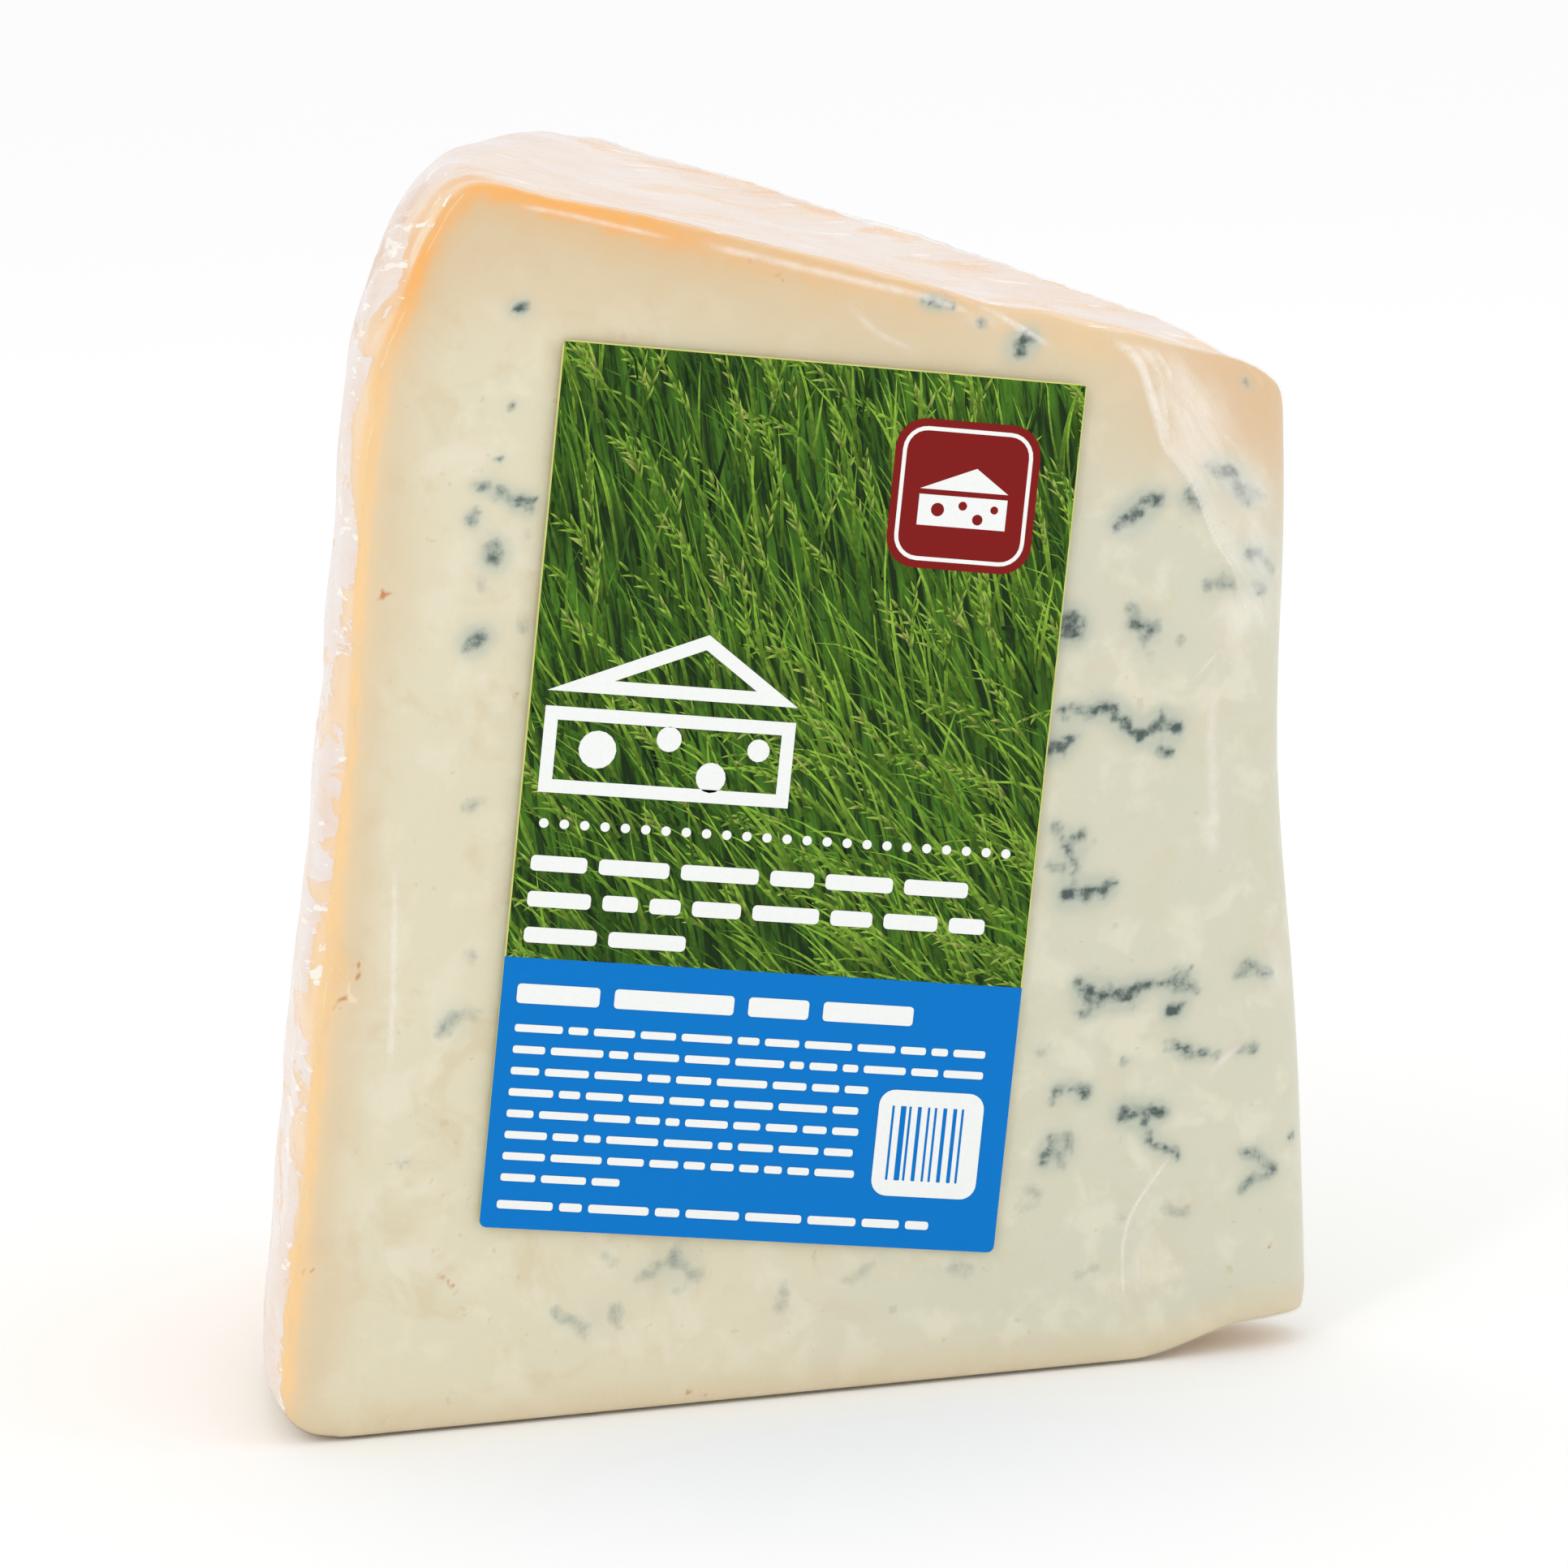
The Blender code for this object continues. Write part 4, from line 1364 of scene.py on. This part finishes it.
def stick_on_label(piece, lift):
    """Turns a flat piece with the label and puts it on the label's face."""
    piece.rotation_euler = (0.0, LABEL_TILT, 0.0)
    piece.location = (LABEL_MIDDLE.x, LABEL_LOW.y + GAP - lift, LABEL_MIDDLE.z)
    put_in_place(piece)


def finished(piece, node_name):
    """Hands the piece to the frame."""
    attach(piece, "root")
    if node_name:
        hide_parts(node_name)


def wrapped(piece, material):
    """Gives a piece of the wedge its material and moves it from the wheel's axis to the frame's place."""
    piece.data.shade_smooth()
    piece.data.materials.clear()
    piece.data.materials.append(material)
    piece.location = AXIS
    put_in_place(piece)
    finished(piece, "cheese_wedge")


class CHEESE_OT_paste(bpy.types.Operator):
    """Build the cheese itself: paste, rind and mould"""

    bl_idname = "cheese_wedge.paste"
    bl_label = "Build the cheese"

    def execute(self, context):
        form = context.scene.cheese_form
        cheese = wedge_form("cheese", form)
        spots = front_spots() + back_spots(form)
        flecks = []
        rng = random.Random(3)
        for route in FLECKS:
            flecks += grown_spots([on_front(*place) for place in route], FLECK_SIZE, FLECK_INK, rng)
        refine(cheese, lambda places: spot_density(places, spots + flecks, REFINE_SPREAD) > REFINE_FROM)
        true_places = vertex_places(cheese)
        add_relief(cheese, form)
        set_places(cheese, vertex_places(cheese) - vertex_normals(cheese) * FILM_CLEARANCE)
        haloes = [(middle, size, ink * HALO_SHARE) for middle, size, ink in spots]
        place, radius, _ = CHIPS[0]
        scars = [(np.array(place), SCAR_SHARE * radius / MM, SCAR_INK)]
        store(cheese, "mould", spot_density(true_places, spots))
        store(cheese, "halo", spot_density(true_places, haloes, HALO_SPREAD))
        store(cheese, "fleck", spot_density(true_places, flecks))
        store(cheese, "scar", spot_density(true_places, scars))
        store(cheese, "rind_depth", np.minimum(below_rind(true_places, form), MARK_LIMIT))
        store(cheese, "foot_depth", np.minimum(true_places[:, 2] / MM, MARK_LIMIT))
        store(cheese, "behind", np.clip(behind_cut(true_places, form), 0.0, MARK_LIMIT))
        wrapped(cheese, cheese_material(context.scene.cheese_paste))
        return {"FINISHED"}


class CHEESE_OT_film(bpy.types.Operator):
    """Build the clear film round the cheese, with its folds"""

    bl_idname = "cheese_wedge.film"
    bl_label = "Wrap it in film"

    def execute(self, context):
        form = context.scene.cheese_form
        look = context.scene.cheese_film
        film = wedge_form("film", form)
        folds = all_folds(form)
        for reach in (FOLD_REACH, FINE_FOLD_REACH):
            refine(film, lambda places: near_folds(places, folds, reach * MM))
        true_places = vertex_places(film)
        add_relief(film, form)
        places = vertex_places(film)
        normals = vertex_normals(film)
        raised, white, hazy = folded(true_places, normals, folds)
        above_foot = np.clip((true_places[:, 2] - FOOT_BAND) / FOOT_FADE, 0.0, 1.0)
        places += normals * (raised * look.fold_scale * above_foot)[:, None]
        places += normals * tented(true_places, form)[:, None]
        set_places(film, places)
        for middle, spread, share in HAZES:
            reach = np.array((spread[0], HAZE_DEPTH, spread[1])) * MM
            hazy += share * place_bell(true_places, on_front(*middle), reach)
        bare = np.max([place_bell(true_places, *bare_place) for bare_place in BARE_PLACES], axis=0)
        store(film, "fold", np.clip(white, 0.0, 1.0))
        store(film, "haze", np.clip(hazy, 0.0, 1.0))
        store(film, "bare", bare)
        store(film, "behind", np.clip(behind_cut(true_places, form), 0.0, MARK_LIMIT))
        store(film, "upright", np.clip((0.75 - np.abs(normals[:, 2])) / 0.3, 0.0, 1.0))
        store(film, "base", np.clip((-normals[:, 2] - 0.5) / 0.3, 0.0, 1.0))
        film.visible_shadow = False
        film.visible_diffuse = False
        wrapped(film, film_material(look))
        return {"FINISHED"}


class CHEESE_OT_label(bpy.types.Operator):
    """Build the paper label with its printed fields"""

    bl_idname = "cheese_wedge.label"
    bl_label = "Stick the label on"

    def execute(self, context):
        bpy.ops.object.select_all(action="DESELECT")
        bpy.ops.mesh.primitive_cube_add(size=1.0)
        label = bpy.context.object
        label.name = "label_paper"
        label.data.name = "label_paper"
        label.scale = (LABEL_WIDTH, PAPER, LABEL_HEIGHT)
        put_in_place(label)
        for edge in label.data.edges:
            ends = [label.data.vertices[i].co for i in edge.vertices]
            edge.select = abs(ends[0].y - ends[1].y) > 0.1 * MM
        for face in label.data.polygons:
            face.select = False
        for vertex in label.data.vertices:
            vertex.select = True
        bpy.context.tool_settings.mesh_select_mode = (False, True, False)
        bpy.ops.object.mode_set(mode="EDIT")
        bpy.ops.mesh.bevel(offset=LABEL_CORNER, segments=4, affect="EDGES")
        end_edit()
        bpy.context.tool_settings.mesh_select_mode = (True, False, False)
        artwork = label.data.uv_layers[0]
        artwork.name = "artwork"
        for loop in label.data.loops:
            place = label.data.vertices[loop.vertex_index].co
            artwork.data[loop.index].uv = (place.x / MM, place.z / MM)
        printed = label.data.attributes.new("printed", "FLOAT", "FACE")
        for face in label.data.polygons:
            printed.data[face.index].value = 1.0 if face.normal.y < -0.9 else 0.0
        label.data.materials.append(paper_material(context.scene.cheese_label))
        stick_on_label(label, PAPER / 2)
        finished(label, "label")
        return {"FINISHED"}


class CHEESE_OT_blades(bpy.types.Operator):
    """Print the leaning grass on the label's green field"""

    bl_idname = "cheese_wedge.blades"
    bl_label = "Print the grass"

    def execute(self, context):
        look = context.scene.cheese_label
        rng = random.Random(41)
        bpy.ops.object.select_all(action="DESELECT")
        bpy.ops.mesh.primitive_grid_add(x_subdivisions=1, y_subdivisions=BLADE_STEPS, size=2.0)
        pattern = bpy.context.object
        blades = []
        for index in range(look.blade_count):
            order = index / look.blade_count
            root = (rng.uniform(-24, 38), rng.uniform(BLUE_TOP - 8, 36))
            low = smooth_step((24.0 - root[1]) / 34.0)
            lean = rng.gauss(-0.20 - 0.34 * low, 0.15)
            curl = rng.gauss(-0.16 - 0.18 * low, 0.22)
            length = rng.uniform(5.0, 12.0)
            sunny = 0.12 * smooth_step((root[0] + 12.0) / 24.0) + 0.05 * low
            tone = min(0.85, max(0.0, rng.gauss(0.18 + 0.50 * order + sunny, 0.17)))
            layer = 1 + int((BLADE_LAYERS - 4) * order)
            blade = (root, lean, curl, length, rng.uniform(0.07, 0.19), tone, layer)
            blades.append(grass_blade(pattern, blade))
            if order > 0.35 and rng.random() < SEED_HEAD_CHANCE:
                blades += seed_head(pattern, blade, rng)
        bpy.data.objects.remove(pattern, do_unlink=True)
        field = join([blade for blade in blades if blade], "label_grass")
        begin_edit(field)
        bpy.ops.mesh.normals_make_consistent(inside=False)
        end_edit()
        if np.mean(vertex_normals(field)[:, 1]) > 0:
            begin_edit(field)
            bpy.ops.mesh.flip_normals()
            end_edit()
        field.data.materials.clear()
        field.data.materials.append(blade_material(look))
        stick_on_label(field, PAPER)
        finished(field, None)
        return {"FINISHED"}


class CHEESE_OT_print(bpy.types.Operator):
    """Print the label's pictures, dots and rows of bars"""

    bl_idname = "cheese_wedge.print"
    bl_label = "Print the rows"

    def execute(self, context):
        look = context.scene.cheese_label
        white = ink_material("white_ink", look.white)
        red = ink_material("red_ink", look.red)
        blue = ink_material("blue_ink", look.blue)
        rng = random.Random(17)
        shapes = [
            printed_shape(rounded_box(BADGE, (12.8, 12.8), 2.6, 6), red, PRINT_LAYER),
            printed_shape(rounded_box(BADGE, (11.5, 11.5), 2.1, 6), white, DETAIL_LAYER, ring=0.35)]
        top, cut, holes = wedge_picture((BADGE[0] - 3.9, BADGE[1] - 2.7), 7.8)
        shapes += [printed_shape(outline, white, DETAIL_LAYER) for outline in (top, cut)]
        shapes += [printed_shape(outline, red, DETAIL_LAYER + 2) for outline in holes]
        top, cut, holes = wedge_picture((-21.4, -0.2), 21.8)
        shapes += [printed_shape(outline, white, PRINT_LAYER, ring=1.15) for outline in (top, cut)]
        shapes += [printed_shape(outline, white, PRINT_LAYER) for outline in holes]
        left, right, level = DOT_ROW
        for step in range(DOT_COUNT):
            u = left + (right - left) * step / (DOT_COUNT - 1)
            shapes.append(printed_shape(disc((u, level), DOT_RADIUS, 12), white, PRINT_LAYER))
        rows = []
        for place, kind in BAR_ROWS:
            rows += word_row(*place, *kind, rng)
        shapes += [printed_shape(outline, white, PRINT_LAYER) for outline in rows]
        shapes.append(printed_shape(rounded_box(BAR_PANEL, (9.4, 9.4), 1.4, 6), white, PRINT_LAYER))
        u = BAR_PANEL[0] - 3.5
        while u < BAR_PANEL[0] + 3.4:
            bar = rng.choice((0.22, 0.35, 0.5))
            outline = rounded_box((u + bar / 2, BAR_PANEL[1]), (bar, 6.6), 0.05, 1)
            shapes.append(printed_shape(outline, blue, DETAIL_LAYER))
            u += bar + rng.choice((0.25, 0.4, 0.55))
        inks = join(shapes, "label_print")
        stick_on_label(inks, PAPER)
        finished(inks, None)
        return {"FINISHED"}


class CHEESE_OT_stage(bpy.types.Operator):
    """Set the floor, the soft light and the camera"""

    bl_idname = "cheese_wedge.stage"
    bl_label = "Set the stage"

    def execute(self, context):
        look = context.scene.cheese_stage
        scene = context.scene
        bpy.ops.object.select_all(action="DESELECT")
        bpy.ops.mesh.primitive_plane_add(size=FLOOR_SIZE, location=(0.0, 0.0, -0.0001))
        floor = bpy.context.object
        floor.name = "floor"
        floor.data.materials.append(floor_material(look))
        put_in_place(floor)
        world = bpy.data.worlds.new("soft_studio")
        scene.world = world
        world.use_nodes = True
        background = world.node_tree.nodes["Background"]
        background.inputs["Color"].default_value = (1.0, 1.0, 1.0, 1.0)
        background.inputs["Strength"].default_value = look.sky
        lights = (
            ("key", (-0.62, -0.70, 0.70), (0.14, 0.75), look.key_power),
            ("top", (0.15, 0.25, 1.1), (0.8, 0.2), look.key_power * 0.35),
            ("fill", (0.80, -0.50, 0.35), (0.12, 0.6), look.key_power * 0.3),
        )
        for name, place, size, power in lights:
            bpy.ops.object.light_add(type="AREA", location=place)
            light = bpy.context.object
            light.name = name
            light.data.shape = "RECTANGLE"
            light.data.size, light.data.size_y = size
            light.data.energy = power
            light.rotation_euler = (LIGHT_AIM - Vector(place)).to_track_quat("-Z", "Y").to_euler()
        back = Vector((
            math.sin(look.azimuth) * math.cos(look.elevation),
            -math.cos(look.azimuth) * math.cos(look.elevation),
            math.sin(look.elevation)))
        aim = Vector((LABEL_MIDDLE.x + AIM_RIGHT, LABEL_LOW.y, LABEL_MIDDLE.z + AIM_UP))
        bpy.ops.object.camera_add(location=aim + back * look.distance)
        camera = bpy.context.object
        camera.rotation_mode = "QUATERNION"
        camera.rotation_quaternion = (-back).to_track_quat("-Z", "Y") @ Quaternion((0.0, 0.0, 1.0), look.roll)
        camera.data.sensor_width = 36.0
        camera.data.lens = look.lens
        camera.data.clip_start = 0.01
        scene.camera = camera
        scene.view_settings.view_transform = "Standard"
        return {"FINISHED"}


class CHEESE_PT_panel(bpy.types.Panel):
    """Lists the wedge's sizes, colours and build steps."""

    bl_label = "Cheese wedge"
    bl_idname = "CHEESE_PT_panel"
    bl_space_type = "VIEW_3D"
    bl_region_type = "UI"
    bl_category = "Cheese"

    def draw(self, context):
        for title, group in GROUPS.items():
            box = self.layout.box()
            box.label(text=title)
            settings = getattr(context.scene, group[0])
            for name in group[1].__annotations__:
                box.prop(settings, name)
        for step in STEPS:
            self.layout.operator(step.bl_idname)


GROUPS = {
    "Form": ("cheese_form", CHEESE_PG_form),
    "Paste": ("cheese_paste", CHEESE_PG_paste),
    "Film": ("cheese_film", CHEESE_PG_film),
    "Label": ("cheese_label", CHEESE_PG_label),
    "Stage": ("cheese_stage", CHEESE_PG_stage),
}
STEPS = (
    CHEESE_OT_paste, CHEESE_OT_film, CHEESE_OT_label, CHEESE_OT_blades, CHEESE_OT_print, CHEESE_OT_stage)


def register():
    for name, group in GROUPS.values():
        bpy.utils.register_class(group)
        setattr(bpy.types.Scene, name, bpy.props.PointerProperty(type=group))
    for step in STEPS:
        bpy.utils.register_class(step)
    bpy.utils.register_class(CHEESE_PT_panel)


def unregister():
    bpy.utils.unregister_class(CHEESE_PT_panel)
    for step in reversed(STEPS):
        bpy.utils.unregister_class(step)
    for name, group in reversed(GROUPS.values()):
        delattr(bpy.types.Scene, name)
        bpy.utils.unregister_class(group)


def main():
    register()
    bpy.ops.cheese_wedge.paste()
    bpy.ops.cheese_wedge.film()
    bpy.ops.cheese_wedge.label()
    bpy.ops.cheese_wedge.blades()
    bpy.ops.cheese_wedge.print()
    bpy.ops.cheese_wedge.stage()


if __name__ == "__main__":
    main()
